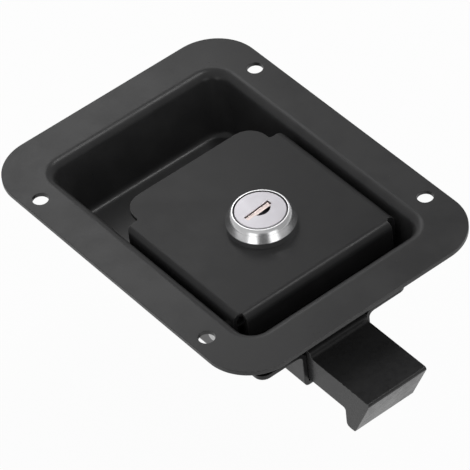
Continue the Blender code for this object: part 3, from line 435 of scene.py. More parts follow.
@dataclass(frozen=True)
class TurnedMetal(Finish):
    """Bright metal with fine turned rings about the lock's axis, faint pits and finger smudges."""

    colour: Colour = (0.86, 0.86, 0.87)
    tint: Colour = (0.78, 0.78, 0.79)
    roughness: float = 0.22
    smudge: Cells = Cells(6.5 * MM)
    smudge_dulling: float = 0.12
    cloud: Cells = Cells(2.4 * MM, 3, 0.6)
    cloud_dulling: float = 0.05
    cloud_relief: float = 0.6
    wander: Cells = Cells(1.1 * MM, 2, 0.6)
    wander_turn: float = 2.5
    ring_pitch: float = 0.22 * MM
    ring_depth: float = 0.0008 * MM
    edge_radius: float = 0.08 * MM
    axis_at: Point = (0.0, -12.35 * MM, 0.0)
    lean_share: float = 0.7

    def build(self) -> bpy.types.Material:
        """Builds the metal.

        Returns:
            The material.
        """
        shading = Shading(self.name)
        shift = tuple(-value for value in self.axis_at)
        reach = shading.placed(shift, (1, 1, self.lean_share)).measured("LENGTH")
        turn = reach * (math.tau / self.ring_pitch) + shading.noise(self.wander) * self.wander_turn
        rings = turn.math("SINE") * 0.5 + 0.5
        cloud, smudge = shading.noise(self.cloud), shading.noise(self.smudge)
        soft = shading.soft_edge(self.edge_radius)
        tone = shading.mixed(cloud, self.colour, self.tint)
        dulling = (smudge, self.smudge_dulling), (cloud, self.cloud_dulling)
        rough = shading.swayed(self.roughness, *dulling)
        normal = shading.bumped(rings + cloud * self.cloud_relief, self.ring_depth, soft)
        return shading.finished(Base_Color=tone, Roughness=rough, Metallic=1.0, Normal=normal)


@dataclass(frozen=True)
class PlatedSteel(Finish):
    """Zinc-plated or bare steel with drawing marks, a cloudy bloom and darker stains."""

    colour: Colour = (0.52, 0.52, 0.53)
    tint: Colour = (0.43, 0.43, 0.42)
    stain: Colour = (0.22, 0.20, 0.18)
    roughness: float = 0.32
    bloom: Cells = Cells(6 * MM, 4, 0.6)
    bloom_dulling: float = 0.18
    stains: Cells = Cells(3.5 * MM, 3, 0.6)
    stain_ends: tuple[float, float] = (0.62, 0.78)
    stain_share: float = 0.5
    stain_dulling: float = 0.1
    grain: Cells = Cells(0.25 * MM)
    grain_dulling: float = 0.08
    grain_depth: float = 0.002 * MM
    edge_radius: float = 0.12 * MM
    drawn: Point = (1.0, 0.12, 1.0)

    def build(self) -> bpy.types.Material:
        """Builds the steel.

        Returns:
            The material.
        """
        shading = Shading(self.name)
        bloom = shading.noise(self.bloom)
        stains = shading.noise(self.stains).stepped(*self.stain_ends)
        grain = shading.noise(self.grain, shading.placed(scale=self.drawn))
        soft = shading.soft_edge(self.edge_radius)
        tone = shading.mixed(bloom, self.colour, self.tint)
        tone = shading.mixed(stains * self.stain_share, tone, self.stain)
        dulling = (bloom, self.bloom_dulling), (grain, self.grain_dulling)
        rough = shading.swayed(self.roughness, *dulling) + stains * self.stain_dulling
        normal = shading.bumped(grain, self.grain_depth, soft)
        return shading.finished(Base_Color=tone, Roughness=rough, Metallic=1.0, Normal=normal)


COAT = BlackCoat("black_coat_finish", Slot.COAT)
LID_COAT = BlackCoat(
    "black_lid_coat_finish",
    Slot.COAT,
    dark=(0.020, 0.020, 0.0205),
    light=(0.026, 0.026, 0.0265),
    roughness=0.38,
    sheen=0.25,
    broad=Cells(19 * MM, 3, 0.55),
    edge_radius=0.35 * MM,
    # Stronger edge tone: worn paint and a painted edge highlight round the paddle.
    wear_and_highlight=2.6,
)
# Painted shade: a darker copy of the coat for the bracket and rivets under the flange, standing in for
# the shade there.
SHADED_BRACKET_COAT = BlackCoat(
    "black_bracket_painted_shade_finish",
    Slot.COAT,
    dark=(0.009, 0.009, 0.0095),
    light=(0.014, 0.014, 0.0145),
    sheen=0.28,
)
CAST = BlackCoat(
    "black_cast_finish",
    Slot.CAST,
    dark=(0.034, 0.034, 0.0345),
    light=(0.042, 0.042, 0.0425),
    sheen=0.18,
    # Edge tone: partly worn paint, partly a painted highlight along the bolt's edges.
    worn_and_highlight=(0.45, 0.45, 0.445),
    dust=(0.24, 0.24, 0.235),
    roughness=0.3,
    broad=Cells(9 * MM, 3, 0.55),
    blotch=Cells(1.6 * MM, 3, 0.6),
    peel=Cells(1.1 * MM, 2, 0.55),
    peel_depth=0.006 * MM,
    wear_and_highlight=2.6,
    speck_share=0.06,
)
CHROME = TurnedMetal("bright_chrome_finish", Slot.CHROME)
NICKEL = TurnedMetal(
    "satin_nickel_finish",
    Slot.NICKEL,
    colour=(0.56, 0.55, 0.58),
    tint=(0.52, 0.50, 0.53),
    roughness=0.32,
    ring_pitch=0.3 * MM,
    ring_depth=0.0014 * MM,
)
BRONZE = PlatedSteel(
    "shutter_bronze_finish",
    Slot.BRONZE,
    colour=(0.80, 0.70, 0.67),
    tint=(0.70, 0.58, 0.55),
    stain=(0.38, 0.27, 0.24),
)
STEEL = PlatedSteel("bare_steel_finish", Slot.STEEL)
SPRING_STEEL = PlatedSteel(
    "spring_steel_finish",
    Slot.STEEL,
    colour=(0.46, 0.46, 0.47),
    tint=(0.36, 0.36, 0.37),
    roughness=0.26,
    edge_radius=0.02 * MM,
)


def holder(name: str, mesh: bpy.types.Mesh) -> bpy.types.Object:
    """Puts a mesh in the scene so that modifiers can work on it.

    Args:
        name: The holder's name.
        mesh: The mesh.

    Returns:
        The holder.
    """
    obj = bpy.data.objects.new(name, mesh)
    bpy.context.scene.collection.objects.link(obj)
    return obj


def evaluated(obj: bpy.types.Object) -> bpy.types.Mesh:
    """Applies an object's modifiers, then removes the object.

    Args:
        obj: A holder whose modifiers are wanted.

    Returns:
        The plain mesh.
    """
    depsgraph = bpy.context.evaluated_depsgraph_get()
    mesh = bpy.data.meshes.new_from_object(obj.evaluated_get(depsgraph), depsgraph=depsgraph)
    bpy.data.objects.remove(obj)
    return mesh


def evened(mesh: bpy.types.Mesh, crease: float) -> bpy.types.Mesh:
    """Smooths a mesh so that flat faces stay flat beside their bends.

    Args:
        mesh: A closed mesh.
        crease: Edges over this many degrees stay sharp.

    Returns:
        The smoothed mesh.
    """
    mesh.shade_smooth()
    mesh.set_sharp_from_angle(angle=math.radians(crease))
    obj = holder("evening", mesh)
    weighing = obj.modifiers.new("by_area", "WEIGHTED_NORMAL")
    weighing.mode = "FACE_AREA"
    weighing.keep_sharp = True
    weighing.weight = LARGE_FACE_WEIGHT
    return evaluated(obj)


def mesh_from(bm: bmesh.types.BMesh, name: str) -> bpy.types.Mesh:
    """Turns a working mesh into a stored one.

    Args:
        bm: The working mesh, freed here.
        name: The new mesh's name.

    Returns:
        The stored mesh.
    """
    mesh = bpy.data.meshes.new(name)
    bm.to_mesh(mesh)
    bm.free()
    return mesh


def rounded_ring(half_x: float, half_y: float, radius: float, steps: int) -> list[tuple[float, float]]:
    """A rectangle's outline with round corners, about the origin.

    Args:
        half_x: Half its width.
        half_y: Half its length.
        radius: Its corners' radius.
        steps: Steps round each corner.

    Returns:
        Its points, counterclockwise.
    """
    points = []
    for corner, (side_x, side_y) in enumerate(((1, 1), (-1, 1), (-1, -1), (1, -1))):
        for step in range(steps + 1):
            turn = math.pi / 2 * (corner + step / steps)
            x = side_x * (half_x - radius) + radius * math.cos(turn)
            points.append((x, side_y * (half_y - radius) + radius * math.sin(turn)))
    return points


class Workshop:
    """Builds each finish once and turns meshes into pieces of the latch."""

    def __init__(self) -> None:
        """Starts with no finishes."""
        self._built: dict[str, bpy.types.Material] = {}

    def material(self, finish: Finish) -> bpy.types.Material:
        """The finish's material, built on first use.

        Args:
            finish: The finish.

        Returns:
            Its material.
        """
        if finish.name not in self._built:
            self._built[finish.name] = finish.build()
        return self._built[finish.name]

    def piece(
        self, name: str, mesh: bpy.types.Mesh, body: Body, finish: Finish, *nodes: str
    ) -> bpy.types.Object:
        """Makes a mesh a piece that rides on a body.

        Args:
            name: The piece's name.
            mesh: Its mesh, in the row frame.
            body: The body that carries it.
            finish: Its finish.
            nodes: The nodes that it stands in for.

        Returns:
            The piece.
        """
        obj = holder(name, mesh)
        mesh.name = name
        mesh.materials.clear()
        mesh.materials.append(self.material(finish))
        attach(obj, body.value)
        for node in nodes:
            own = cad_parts[node].data.materials
            own.clear()
            own.append(self.material(finish))
        if nodes:
            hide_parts(*nodes)
        log.info("%s: %d faces", name, len(mesh.polygons))
        return obj

    def welded(
        self, node: str, body: Body, finish: Finish, crease: float = PLAIN_CREASE
    ) -> bpy.types.Object:
        """Stands a welded, smooth copy in for a node.

        Args:
            node: The node's name.
            body: The body that carries it.
            finish: Its finish.
            crease: Edges over this many degrees stay sharp.

        Returns:
            The piece.
        """
        bm = bmesh.new()
        bm.from_mesh(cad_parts[node].data)
        bmesh.ops.remove_doubles(bm, verts=bm.verts, dist=WELD_REACH)
        bmesh.ops.dissolve_limit(bm, angle_limit=FLAT_ANGLE, verts=bm.verts, edges=bm.edges)
        for face in bm.faces:
            face.material_index = 0
        mesh = evened(mesh_from(bm, node), crease)
        return self.piece(f"{node}_skin", mesh, body, finish, node)

    def grown(
        self, name: str, rule: "Rule", body: Body, finish: Finish, *nodes: str
    ) -> bpy.types.Object:
        """Makes a piece by a Geometry Nodes rule.

        Args:
            name: The piece's name.
            rule: The rule with its sizes.
            body: The body that carries it.
            finish: Its finish.
            nodes: The nodes that it stands in for.

        Returns:
            The piece.
        """
        obj = holder(name, bpy.data.meshes.new(name))
        growth = obj.modifiers.new("rule", "NODES")
        growth.node_group = rule.tree(self.material(finish))
        sizes = rule.sizes()
        for item in growth.node_group.interface.items_tree:
            if item.name in sizes:
                growth[item.identifier] = sizes[item.name]
        return self.piece(name, evaluated(obj), body, finish, *nodes)


class RuleGraph(Graph):
    """A Geometry Nodes tree with named size inputs."""

    def __init__(self, name: str, sizes: dict[str, float]) -> None:
        """Starts a tree.

        Args:
            name: The tree's name.
            sizes: Its inputs' names and starting values.
        """
        super().__init__(bpy.data.node_groups.new(name, "GeometryNodeTree"))
        panel = self.tree.interface
        panel.new_socket("Geometry", in_out="OUTPUT", socket_type="NodeSocketGeometry")
        for size, value in sizes.items():
            kind = "NodeSocketInt" if isinstance(value, int) else "NodeSocketFloat"
            panel.new_socket(size, in_out="INPUT", socket_type=kind)
        self.given = self.tree.nodes.new("NodeGroupInput")

    def size(self, name: str) -> Link:
        """The value of a named input."""
        return Link(self, self.given.outputs[name])

    def circle(self, radius: Link, steps: int) -> Link:
        """A circle about the origin, as a curve."""
        sizes = {"Resolution": steps, "Radius": radius}
        return self.node("GeometryNodeCurvePrimitiveCircle", sizes)

    def swept(self, curve: Link, radius: Link, sides: int) -> Link:
        """Sweeps a round section along a curve.

        Args:
            curve: The curve.
            radius: The section's radius.
            sides: Faces round the section.

        Returns:
            The swept mesh, closed at its ends.
        """
        parts = {"Curve": curve, "Profile Curve": self.circle(radius, sides), "Fill Caps": True}
        return self.node("GeometryNodeCurveToMesh", parts)

    def wire(self, place: Link, radius: Link, sides: int) -> Link:
        """Sweeps a round wire through a row of points, as many as the Points input says.

        Args:
            place: Where each point lies.
            radius: The wire's radius.
            sides: Faces round the wire.

        Returns:
            The wire's mesh.
        """
        line = self.node("GeometryNodeMeshLine", {"Count": self.size("Points")})
        route = self.node("GeometryNodeSetPosition", {"Geometry": line, "Position": place})
        return self.swept(self.node("GeometryNodeMeshToCurve", {0: route}), radius, sides)

    def ended(self, mesh: Link, material: bpy.types.Material) -> bpy.types.NodeTree:
        """Realises, dresses and hands out the result.

        Args:
            mesh: The finished geometry.
            material: Its material.

        Returns:
            The tree.
        """
        smooth = self.node("GeometryNodeSetShadeSmooth", {0: mesh})
        real = self.node("GeometryNodeRealizeInstances", {0: smooth})
        dressed = self.node("GeometryNodeSetMaterial", {"Geometry": real, "Material": material})
        self.node("NodeGroupOutput", {0: dressed})
        return self.tree


@dataclass(frozen=True)
class Rule(ABC):
    """A Geometry Nodes rule and its sizes."""

    @abstractmethod
    def sizes(self) -> dict[str, float]:
        """The rule's inputs by name."""

    @abstractmethod
    def tree(self, material: bpy.types.Material) -> bpy.types.NodeTree:
        """Builds the rule's tree."""


@dataclass(frozen=True)
class CompressionCoil(Rule):
    """A compression spring along Y with one closed turn at each end."""

    x: float
    z: float
    start: float
    end: float
    turns: int = 11
    wire: float = 0.5 * MM
    mean_radius: float = 1.35 * MM
    end_pitch: float = 0.75 * MM
    steps: int = 28
    sides: int = 10

    def sizes(self) -> dict[str, float]:
        """The rule's inputs by name."""
        open_pitch = (self.end - self.start - 2 * self.end_pitch) / (self.turns - 2)
        return {
            "Points": self.turns * self.steps + 1,
            "Steps": self.steps,
            "Open turns": float(self.turns - 2),
            "X": self.x,
            "Z": self.z,
            "Start": self.start,
            "Open pitch": open_pitch,
            "End pitch": self.end_pitch,
            "Radius": self.mean_radius,
            "Wire radius": self.wire / 2,
        }

    def tree(self, material: bpy.types.Material) -> bpy.types.NodeTree:
        """Builds the spring's tree.

        Args:
            material: The spring's material.

        Returns:
            The tree.
        """
        graph = RuleGraph("compression_coil", self.sizes())
        turn = graph.node("GeometryNodeInputIndex") / graph.size("Steps")
        opened = (turn - 1).between(0, graph.size("Open turns"))
        along = (turn - opened) * graph.size("End pitch") + opened * graph.size("Open pitch")
        angle = turn * math.tau
        radius = graph.size("Radius")
        place = graph.vector(
            angle.math("COSINE") * radius + graph.size("X"),
            along + graph.size("Start"),
            angle.math("SINE") * radius + graph.size("Z"),
        )
        return graph.ended(graph.wire(place, graph.size("Wire radius"), self.sides), material)


@dataclass(frozen=True)
class Thread(Rule):
    """The lock body's screw thread, which runs out where the body is flattened."""

    y: float
    top: float
    turns: int
    radius: float
    flat: float
    pitch: float = 1.0 * MM
    ridge: float = 0.2 * MM
    steps: int = 56
    sides: int = 6

    def sizes(self) -> dict[str, float]:
        """The rule's inputs by name."""
        return {
            "Points": self.turns * self.steps + 1,
            "Steps": self.steps,
            "Y": self.y,
            "Top": self.top,
            "Pitch": self.pitch,
            "Radius": self.radius,
            "Flat": self.flat,
            "Ridge": self.ridge,
        }

    def tree(self, material: bpy.types.Material) -> bpy.types.NodeTree:
        """Builds the thread's tree.

        Args:
            material: The thread's material.

        Returns:
            The tree.
        """
        graph = RuleGraph("body_thread", self.sizes())
        turn = graph.node("GeometryNodeInputIndex") / graph.size("Steps")
        angle = turn * math.tau
        radius, flat = graph.size("Radius"), graph.size("Flat")
        place = graph.vector(
            (angle.math("COSINE") * radius).between(flat * -1, flat),
            angle.math("SINE") * radius + graph.size("Y"),
            graph.size("Top") - turn * graph.size("Pitch"),
        )
        return graph.ended(graph.wire(place, graph.size("Ridge"), self.sides), material)


@dataclass(frozen=True)
class WeldRings(Rule):
    """The raised rings of the two spot welds that hold the lever."""

    spread: float
    y: float
    z: float
    radius: float = 1.5 * MM
    bead: float = 0.16 * MM
    steps: int = 36
    sides: int = 8

    def sizes(self) -> dict[str, float]:
        """The rule's inputs by name."""
        return {"X": self.spread, "Y": self.y, "Z": self.z, "Radius": self.radius, "Bead": self.bead}

    def tree(self, material: bpy.types.Material) -> bpy.types.NodeTree:
        """Builds the rings' tree.

        Args:
            material: The rings' material.

        Returns:
            The tree.
        """
        graph = RuleGraph("weld_rings", self.sizes())
        spread = graph.size("X")
        start = graph.vector(spread * -1, graph.size("Y"), graph.size("Z"))
        pair = {"Count": 2, "Start Location": start, "Offset": graph.vector(spread * 2, 0.0, 0.0)}
        points = graph.node("GeometryNodeMeshLine", pair)
        ring = graph.circle(graph.size("Radius"), self.steps)
        bead = graph.swept(ring, graph.size("Bead"), self.sides)
        set_out = {"Points": points, "Instance": bead}
        return graph.ended(graph.node("GeometryNodeInstanceOnPoints", set_out), material)


@dataclass
class SubAssembly(ABC):
    """A group of pieces that is built and dressed together."""

    workshop: Workshop

    @abstractmethod
    def build(self) -> None:
        """Builds and dresses the group's pieces."""


@dataclass
class Dish(SubAssembly):
    """The stamped dish with the bracket riveted under it and the hinge pin across it."""

    sheet: float = 1.2 * MM
    flange_radius: float = 13.75 * MM
    depth: float = 19.1 * MM
    floor_width: float = 54.4 * MM
    floor_length: float = 78.4 * MM
    draft_x: float = 1.5 * MM
    draft_y: float = 3.2 * MM
    roll: float = 3.0 * MM
    opening_radius: float = 5.0 * MM
    floor_radius: float = 6.0 * MM
    bend: float = 2.0 * MM
    screw_hole: float = 4.5 * MM
    screw_side_inset: float = 4.6 * MM
    screw_end_inset: float = 20.45 * MM
    slot_width: float = 14.0 * MM
    slot_front: float = -28.4 * MM
    slot_rear: float = 9.0 * MM
    slot_radius: float = 1.5 * MM
    pin_y: float = -30.0 * MM
    pin_z: float = -5.8 * MM
    pin_hole_radius: float = 1.75 * MM
    rivet_x: float = 19.5 * MM
    rivet_ys: tuple[float, float] = (-34.5 * MM, -22.5 * MM)
    rivet_hole_radius: float = 1.7 * MM
    punch_length: float = 4.8 * MM
    corner_steps: int = 20
    bend_steps: int = 12
    hole_steps: int = 40
    crease: float = 40

    def build(self) -> None:
        """Builds and dresses the dish, the bracket and their fasteners."""
        self.workshop.piece("pan_skin", self.stamping(), Body.CASE, COAT, "pan")
        # The bracket and rivets take the darker coat copy, painted shade for their place under the
        # flange.
        self.workshop.welded("bolt_housing", Body.CASE, SHADED_BRACKET_COAT, self.crease)
        for number in range(1, 2 * len(self.rivet_ys) + 1):
            self.workshop.welded(f"housing_rivet_{number}", Body.CASE, SHADED_BRACKET_COAT)
        for node in ("hinge_pin", "pin_clip_left", "pin_clip_right"):
            self.workshop.welded(node, Body.CASE, STEEL)

    def half(self, depth: float, floor: float, draft: float) -> float:
        """Half the dish's size at a depth: the roll, then the drafted wall, then the bend.

        Args:
            depth: Depth under the face.
            floor: The floor's size between the walls.
            draft: How far the wall leans out to the face.

        Returns:
            Half the size.
        """
        slope = math.atan2(draft, self.depth - self.roll)
        wall = floor / 2 + (self.depth - depth) * math.tan(slope)
        if depth < self.roll * (1 - math.sin(slope)):
            centre = wall + (depth - self.roll) * math.tan(slope) + self.roll / math.cos(slope)
            return centre - math.sqrt(self.roll**2 - (self.roll - depth) ** 2)
        drop = depth - (self.depth - self.bend)
        if drop > self.bend * math.sin(slope):
            centre = floor / 2 + self.bend * (math.tan(slope) - 1 / math.cos(slope))
            return centre + math.sqrt(max(self.bend**2 - drop**2, 0))
        return wall

    def ring(self, depth: float) -> list[Point]:
        """The dish's outline at a depth.

        Args:
            depth: Depth under the face.

        Returns:
            The outline's points.
        """
        half_x = self.half(depth, self.floor_width, self.draft_x)
        half_y = self.half(depth, self.floor_length, self.draft_y)
        share = depth / self.depth
        slope = self.draft_x / (self.depth - self.roll)
        wall = self.floor_width / 2 + (self.depth - depth) * slope
        radius = self.opening_radius * (1 - share) + self.floor_radius * share + half_x - wall
        outline = rounded_ring(half_x, half_y, radius, self.corner_steps)
        return [(x, y, self.sheet - depth) for x, y in outline]

    def stamping(self) -> bpy.types.Mesh:
        """The dish with its flange and holes.

        Returns:
            The mesh.
        """
        low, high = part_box("pan")
        half_x, half_y = (high[0] - low[0]) / 2, (high[1] - low[1]) / 2
        edge = rounded_ring(half_x, half_y, self.flange_radius, self.corner_steps)
        rings = [[(x, y, self.sheet) for x, y in edge]]
        turns = [math.pi / 2 * step / self.bend_steps for step in range(self.bend_steps + 1)]
        rings += [self.ring(self.roll * (1 - math.cos(turn))) for turn in turns]
        rings += [self.ring(self.depth - self.bend * (1 - math.sin(turn))) for turn in turns]
        bm = bmesh.new()
        loops = [[bm.verts.new(point) for point in ring] for ring in rings]
        for outer, inner in zip(loops, loops[1:]):
            for index in range(len(outer)):
                bm.faces.new((outer[index - 1], outer[index], inner[index], inner[index - 1]))
        bm.faces.new(loops[-1])
        obj = holder("stamping", mesh_from(bm, "stamping"))
        thickness = obj.modifiers.new("sheet", "SOLIDIFY")
        thickness.thickness = self.sheet
        thickness.offset = -1
        thickness.use_even_offset = True
        punch = holder("punches", self.punches(half_x, half_y))
        punching = obj.modifiers.new("holes", "BOOLEAN")
        punching.solver = "EXACT"
        punching.object = punch
        mesh = evaluated(obj)
        bpy.data.objects.remove(punch)
        return evened(mesh, self.crease)

    def punches(self, half_x: float, half_y: float) -> bpy.types.Mesh:
        """The tools that punch the screw holes, the floor slot and the pin and rivet holes.

        Args:
            half_x: Half the flange's width.
            half_y: Half the flange's length.

        Returns:
            The tools as one mesh.
        """
        bm = bmesh.new()
        screw_x, screw_y = half_x - self.screw_side_inset, half_y - self.screw_end_inset
        floor = self.sheet - self.depth
        for side in (-1, 1):
            for end in (-1, 1):
                place = Matrix.Translation((side * screw_x, end * screw_y, 0))
                self.drill(bm, place, self.screw_hole / 2, self.punch_length)
            for y in self.rivet_ys:
                place = Matrix.Translation((side * self.rivet_x, y, floor))
                self.drill(bm, place, self.rivet_hole_radius, self.punch_length)
        across = Matrix.Translation((0, self.pin_y, self.pin_z)) @ Matrix.Rotation(math.pi / 2, 4, "Y")
        self.drill(bm, across, self.pin_hole_radius, 2 * half_x)
        half_slot = (self.slot_rear - self.slot_front) / 2
        outline = rounded_ring(self.slot_width / 2, half_slot, self.slot_radius, self.corner_steps)
        middle = (self.slot_rear + self.slot_front) / 2
        top = floor + OVERRUN
        face = bm.faces.new([bm.verts.new((x, y + middle, top)) for x, y in outline])
        grown = bmesh.ops.extrude_face_region(bm, geom=[face], use_keep_orig=True)
        low = [item for item in grown["geom"] if isinstance(item, bmesh.types.BMVert)]
        bmesh.ops.translate(bm, verts=low, vec=(0, 0, -self.sheet - 2 * OVERRUN))
        bmesh.ops.recalc_face_normals(bm, faces=bm.faces)
        return mesh_from(bm, "punches")

    def drill(self, bm: bmesh.types.BMesh, place: Matrix, radius: float, length: float) -> None:
        """Adds one round tool.

        Args:
            bm: The tools' mesh.
            place: Where its middle is and how it is turned.
            radius: Its radius.
            length: Its length.
        """
        size = {"radius1": radius, "radius2": radius, "depth": length}
        bmesh.ops.create_cone(bm, cap_ends=True, matrix=place, segments=self.hole_steps, **size)


@dataclass
class Lid(SubAssembly):
    """The paddle with the trigger lever welded under it."""

    weld_spread: float = 16.5 * MM
    weld_y: float = -20.6 * MM
    lever_under: float = -3.05 * MM
    crease: float = 40

    def build(self) -> None:
        """Builds and dresses the paddle and its lever."""
        self.workshop.welded("paddle", Body.PADDLE, LID_COAT, self.crease)
        self.workshop.welded("trigger_lever", Body.PADDLE, STEEL)
        rings = WeldRings(self.weld_spread, self.weld_y, self.lever_under)
        self.workshop.grown("lever_weld_rings", rings, Body.PADDLE, STEEL)


@dataclass
class Lock(SubAssembly):
    """The key lock: its cylinder and clamping nut on the paddle, and the plug with cam and flap."""

    axis_y: float = -12.35 * MM
    body_radius: float = 8.5 * MM
    body_flat: float = 7.75 * MM
    thread_top: float = -2.3 * MM
    thread_turns: int = 12
    collar_height: float = 5.08 * MM
    lip_radius: float = 7.62 * MM
    shoulder_turn: Point = (8.2 * MM, 0.0, -0.5 * MM)
    shoulder_end: Point = (8.6 * MM, 0.0, -1.4 * MM)
    crease_depth: float = 0.03 * MM
    cone_foot_radius: float = 9.5 * MM
    band_radius: float = 9.54 * MM
    band_height: float = 1.8 * MM
    bore: float = 7.3 * MM
    tail_bore: float = 3.5 * MM
    rear_wall: float = 2.0 * MM
    curve_steps: int = 12
    turn_steps: int = 144
    crease: float = 24

    def build(self) -> None:
        """Builds and dresses the lock's pieces."""
        cylinder = evened(self.cylinder(), self.crease)
        self.workshop.piece("lock_cylinder_skin", cylinder, Body.PADDLE, CHROME, "lock_cylinder")
        thread = Thread(
            self.axis_y, self.thread_top, self.thread_turns, self.body_radius, self.body_flat
        )
        self.workshop.grown("lock_body_thread", thread, Body.PADDLE, CHROME)
        for node in ("lock_washer", "lock_nut"):
            self.workshop.welded(node, Body.PADDLE, STEEL)
        self.workshop.welded("lock_plug", Body.PLUG, NICKEL)
        for node in ("lock_cam", "cam_washer", "cam_screw"):
            self.workshop.welded(node, Body.PLUG, STEEL)
        self.workshop.welded("key_shutter", Body.SHUTTER, BRONZE)

    def shoulder(self, top: float) -> list[tuple[float, float]]:
        """The collar from its lip over the round shoulder and down the cone to the band.

        Args:
            top: Height of the lock's face.

        Returns:
            Radii and heights.
        """
        start = Vector((self.lip_radius, 0, 0))
        turn, end = Vector(self.shoulder_turn), Vector(self.shoulder_end)
        points = []
        for step in range(self.curve_steps + 1):
            share = step / self.curve_steps
            place = start.lerp(turn, share).lerp(turn.lerp(end, share), share)
            points.append((place.x, top + place.z))
        creased = end.lerp(start, -self.crease_depth / (end - start).length)
        points.append((end.x - self.crease_depth / 2, top + creased.z))
        foot = top - self.collar_height + self.band_height
        return [*points, (self.cone_foot_radius, foot)]

    def cylinder(self) -> bpy.types.Mesh:
        """The turned collar with its bored, flattened body.

        Returns:
            The mesh.
        """
        low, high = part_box("lock_cylinder")
        top, rear = high[2], low[2]
        seat = top - self.collar_height
        profile = [(self.bore, top), *self.shoulder(top), (self.band_radius, seat)]
        profile += [(self.body_radius, seat), (self.body_radius, rear), (self.tail_bore, rear)]
        profile += [(self.tail_bore, rear + self.rear_wall), (self.bore, rear + self.rear_wall)]
        bm = bmesh.new()
        loops = []
        for step in range(self.turn_steps):
            turn = math.tau * step / self.turn_steps
            loop = []
            for radius, height in profile:
                x = radius * math.cos(turn)
                if radius == self.body_radius:
                    x = max(-self.body_flat, min(self.body_flat, x))
                loop.append(bm.verts.new((x, self.axis_y + radius * math.sin(turn), height)))
            loops.append(loop)
        for index, loop in enumerate(loops):
            before = loops[index - 1]
            for place in range(len(loop)):
                bm.faces.new((before[place - 1], before[place], loop[place], loop[place - 1]))
        bmesh.ops.recalc_face_normals(bm, faces=bm.faces)
        return mesh_from(bm, "lock_cylinder")


@dataclass
class Bolt(SubAssembly):
    """The slide bolt with its springs."""

    spring_x: float = 7.3 * MM
    spring_z: float = -27.15 * MM
    spring_start: float = -34.8 * MM
    spring_end: float = -13.55 * MM
    travel: float = 9.5 * MM
    crease: float = 28

    def build(self) -> None:
        """Builds and dresses the bolt and the springs."""
        self.workshop.welded("slide_bolt", Body.BOLT, CAST, self.crease)
        for side, label in ((-1, "left"), (1, "right")):
            coil = CompressionCoil(
                side * self.spring_x, self.spring_z, self.spring_start, self.spring_end
            )
            node = f"bolt_spring_{label}"
            spring = self.workshop.grown(f"{node}_skin", coil, Body.CASE, SPRING_STEEL, node)
            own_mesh(spring)
        self.workshop.welded("paddle_spring", Body.PADDLE, SPRING_STEEL)


@dataclass(frozen=True)
class Lamp:
    """A square soft light aimed at the latch."""

    name: str
    at: Point
    size: float
    radiance: float

    def build(self) -> None:
        """Puts the lamp in the scene."""
        data = bpy.data.lights.new(self.name, "AREA")
        data.shape = "SQUARE"
        data.size = self.size
        data.energy = self.radiance * math.pi * self.size**2
        obj = bpy.data.objects.new(self.name, data)
        obj.location = self.at
        obj.rotation_euler = Vector(self.at).to_track_quat("Z", "Y").to_euler()
        obj.visible_camera = False
        bpy.context.scene.collection.objects.link(obj)


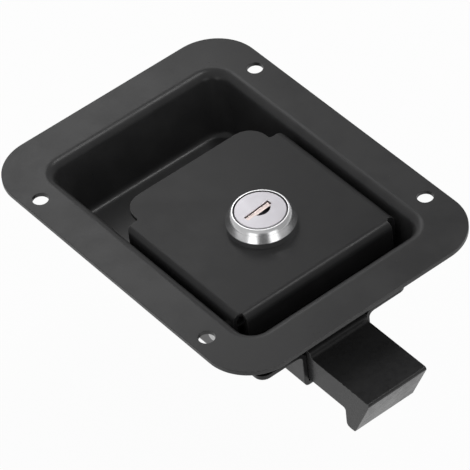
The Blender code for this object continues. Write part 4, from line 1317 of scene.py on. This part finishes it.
@dataclass
class Studio:
    """A white floor under soft light, and the camera at the photograph's place."""

    azimuth: float = -34.54
    elevation: float = 44.16
    roll: float = -6.67
    distance: float = 1009.2 * MM
    target: Point = (-8.21 * MM, -11.44 * MM, 1.2 * MM)
    focal_pixels: float = 3881.9
    picture_pixels: float = 470.0
    sensor: float = 36.0
    clip_near: float = 50 * MM
    floor_level: float = -90.0 * MM
    floor_size: float = 40.0
    floor_colour: Colour = (0.86, 0.86, 0.86)
    floor_glow: float = 0.95
    ambient: float = 0.55
    dim_side: Point = (0.86, -0.51, 0.0)
    dim_ends: tuple[float, float] = (-0.6, 1.0)
    dim_share: float = 0.35
    dark_side: Point = (-0.56, -0.82, 0.1)
    dark_ends: tuple[float, float] = (0.9, 0.995)
    dark_share: float = 0.8
    lamps: tuple[Lamp, ...] = (
        Lamp("overhead_light", (0.42, -0.1, 0.92), 0.27, 8.5),
        Lamp("far_light", (0.095, 0.25, 0.245), 0.15, 2.1),
        Lamp("near_left_light", (-0.9, -0.41, 0.15), 0.45, 1.15),
        Lamp("near_right_light", (-0.06, -0.98, 0.15), 0.45, 1.15),
    )

    def back(self) -> Vector:
        """Direction from the target to the camera."""
        azimuth, elevation = math.radians(self.azimuth), math.radians(self.elevation)
        level = math.cos(elevation)
        return Vector((math.sin(azimuth) * level, -math.cos(azimuth) * level, math.sin(elevation)))

    def build(self) -> None:
        """Builds the camera, the floor, the world and the lamps."""
        bpy.context.scene.view_settings.view_transform = "Standard"
        self.camera()
        self.floor()
        self.world()
        for lamp in self.lamps:
            lamp.build()

    def camera(self) -> None:
        """Puts the camera where the photograph was taken from."""
        data = bpy.data.cameras.new("camera")
        data.sensor_width = self.sensor
        data.lens = self.focal_pixels * self.sensor / self.picture_pixels
        data.clip_start, data.clip_end = self.clip_near, 2 * self.floor_size
        obj = bpy.data.objects.new("camera", data)
        bpy.context.scene.collection.objects.link(obj)
        back = self.back()
        level = Vector((0, 0, 1)).cross(back).normalized()
        right = Matrix.Rotation(math.radians(self.roll), 3, back) @ level
        obj.matrix_world = Matrix((right, back.cross(right), back)).transposed().to_4x4()
        obj.matrix_world.translation = Vector(self.target) + back * self.distance
        bpy.context.scene.camera = obj

    def floor(self) -> None:
        """A floor that shows white, keeps a faint shadow and lets the underside be seen."""
        bm = bmesh.new()
        bmesh.ops.create_grid(bm, size=self.floor_size / 2)
        bmesh.ops.translate(bm, verts=bm.verts, vec=(0, 0, self.floor_level))
        obj = holder("floor", mesh_from(bm, "floor"))
        material = bpy.data.materials.new("floor_white")
        material.use_nodes = True
        graph = Graph(material.node_tree)
        graph.tree.nodes.clear()
        camera = graph.node("ShaderNodeLightPath", out="Is Camera Ray")
        rays = camera.socket.node.outputs
        seen = camera + Link(graph, rays["Is Glossy Ray"]) + Link(graph, rays["Is Transmission Ray"])
        lit = graph.node("ShaderNodeBsdfDiffuse", {"Color": (*self.floor_colour, 1)})
        glow = graph.node("ShaderNodeEmission", {"Color": (1, 1, 1, 1), "Strength": 1.0})
        share = seen.math("MINIMUM", 1) * self.floor_glow
        both = graph.node("ShaderNodeMixShader", {0: share, 1: lit, 2: glow})
        under = graph.node("ShaderNodeNewGeometry", out="Backfacing")
        clear = graph.node("ShaderNodeBsdfTransparent")
        sided = graph.node("ShaderNodeMixShader", {0: under, 1: both, 2: clear})
        graph.node("ShaderNodeOutputMaterial", {"Surface": sided})
        obj.data.materials.append(material)

    def world(self) -> None:
        """A soft light from all round, dimmer on one side and behind the camera."""
        world = bpy.data.worlds.new("soft_room")
        bpy.context.scene.world = world
        world.use_nodes = True
        graph = Graph(world.node_tree)
        dim = self.toward(graph, self.dim_side).stepped(*self.dim_ends) * self.dim_share
        dark = self.toward(graph, self.dark_side).stepped(*self.dark_ends) * self.dark_share
        background = world.node_tree.nodes["Background"].inputs
        graph.feed(background["Color"], (1, 1, 1, 1))
        graph.feed(background["Strength"], (1 - dim) * (1 - dark) * self.ambient)

    def toward(self, graph: Graph, side: Point) -> Link:
        """How far each direction of the world points to one side.

        Args:
            graph: The world's tree.
            side: The side's direction.

        Returns:
            One toward that side and minus one away from it.
        """
        return graph.node("ShaderNodeTexCoord", out="Generated").measured("DOT_PRODUCT", side)


def main() -> None:
    """Builds the latch's looks and the studio."""
    logging.basicConfig(level=logging.INFO, format="%(message)s")
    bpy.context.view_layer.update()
    workshop = Workshop()
    for assembly in (Dish(workshop), Lid(workshop), Lock(workshop), Bolt(workshop)):
        assembly.build()
    Studio().build()


if __name__ == "__main__":
    main()
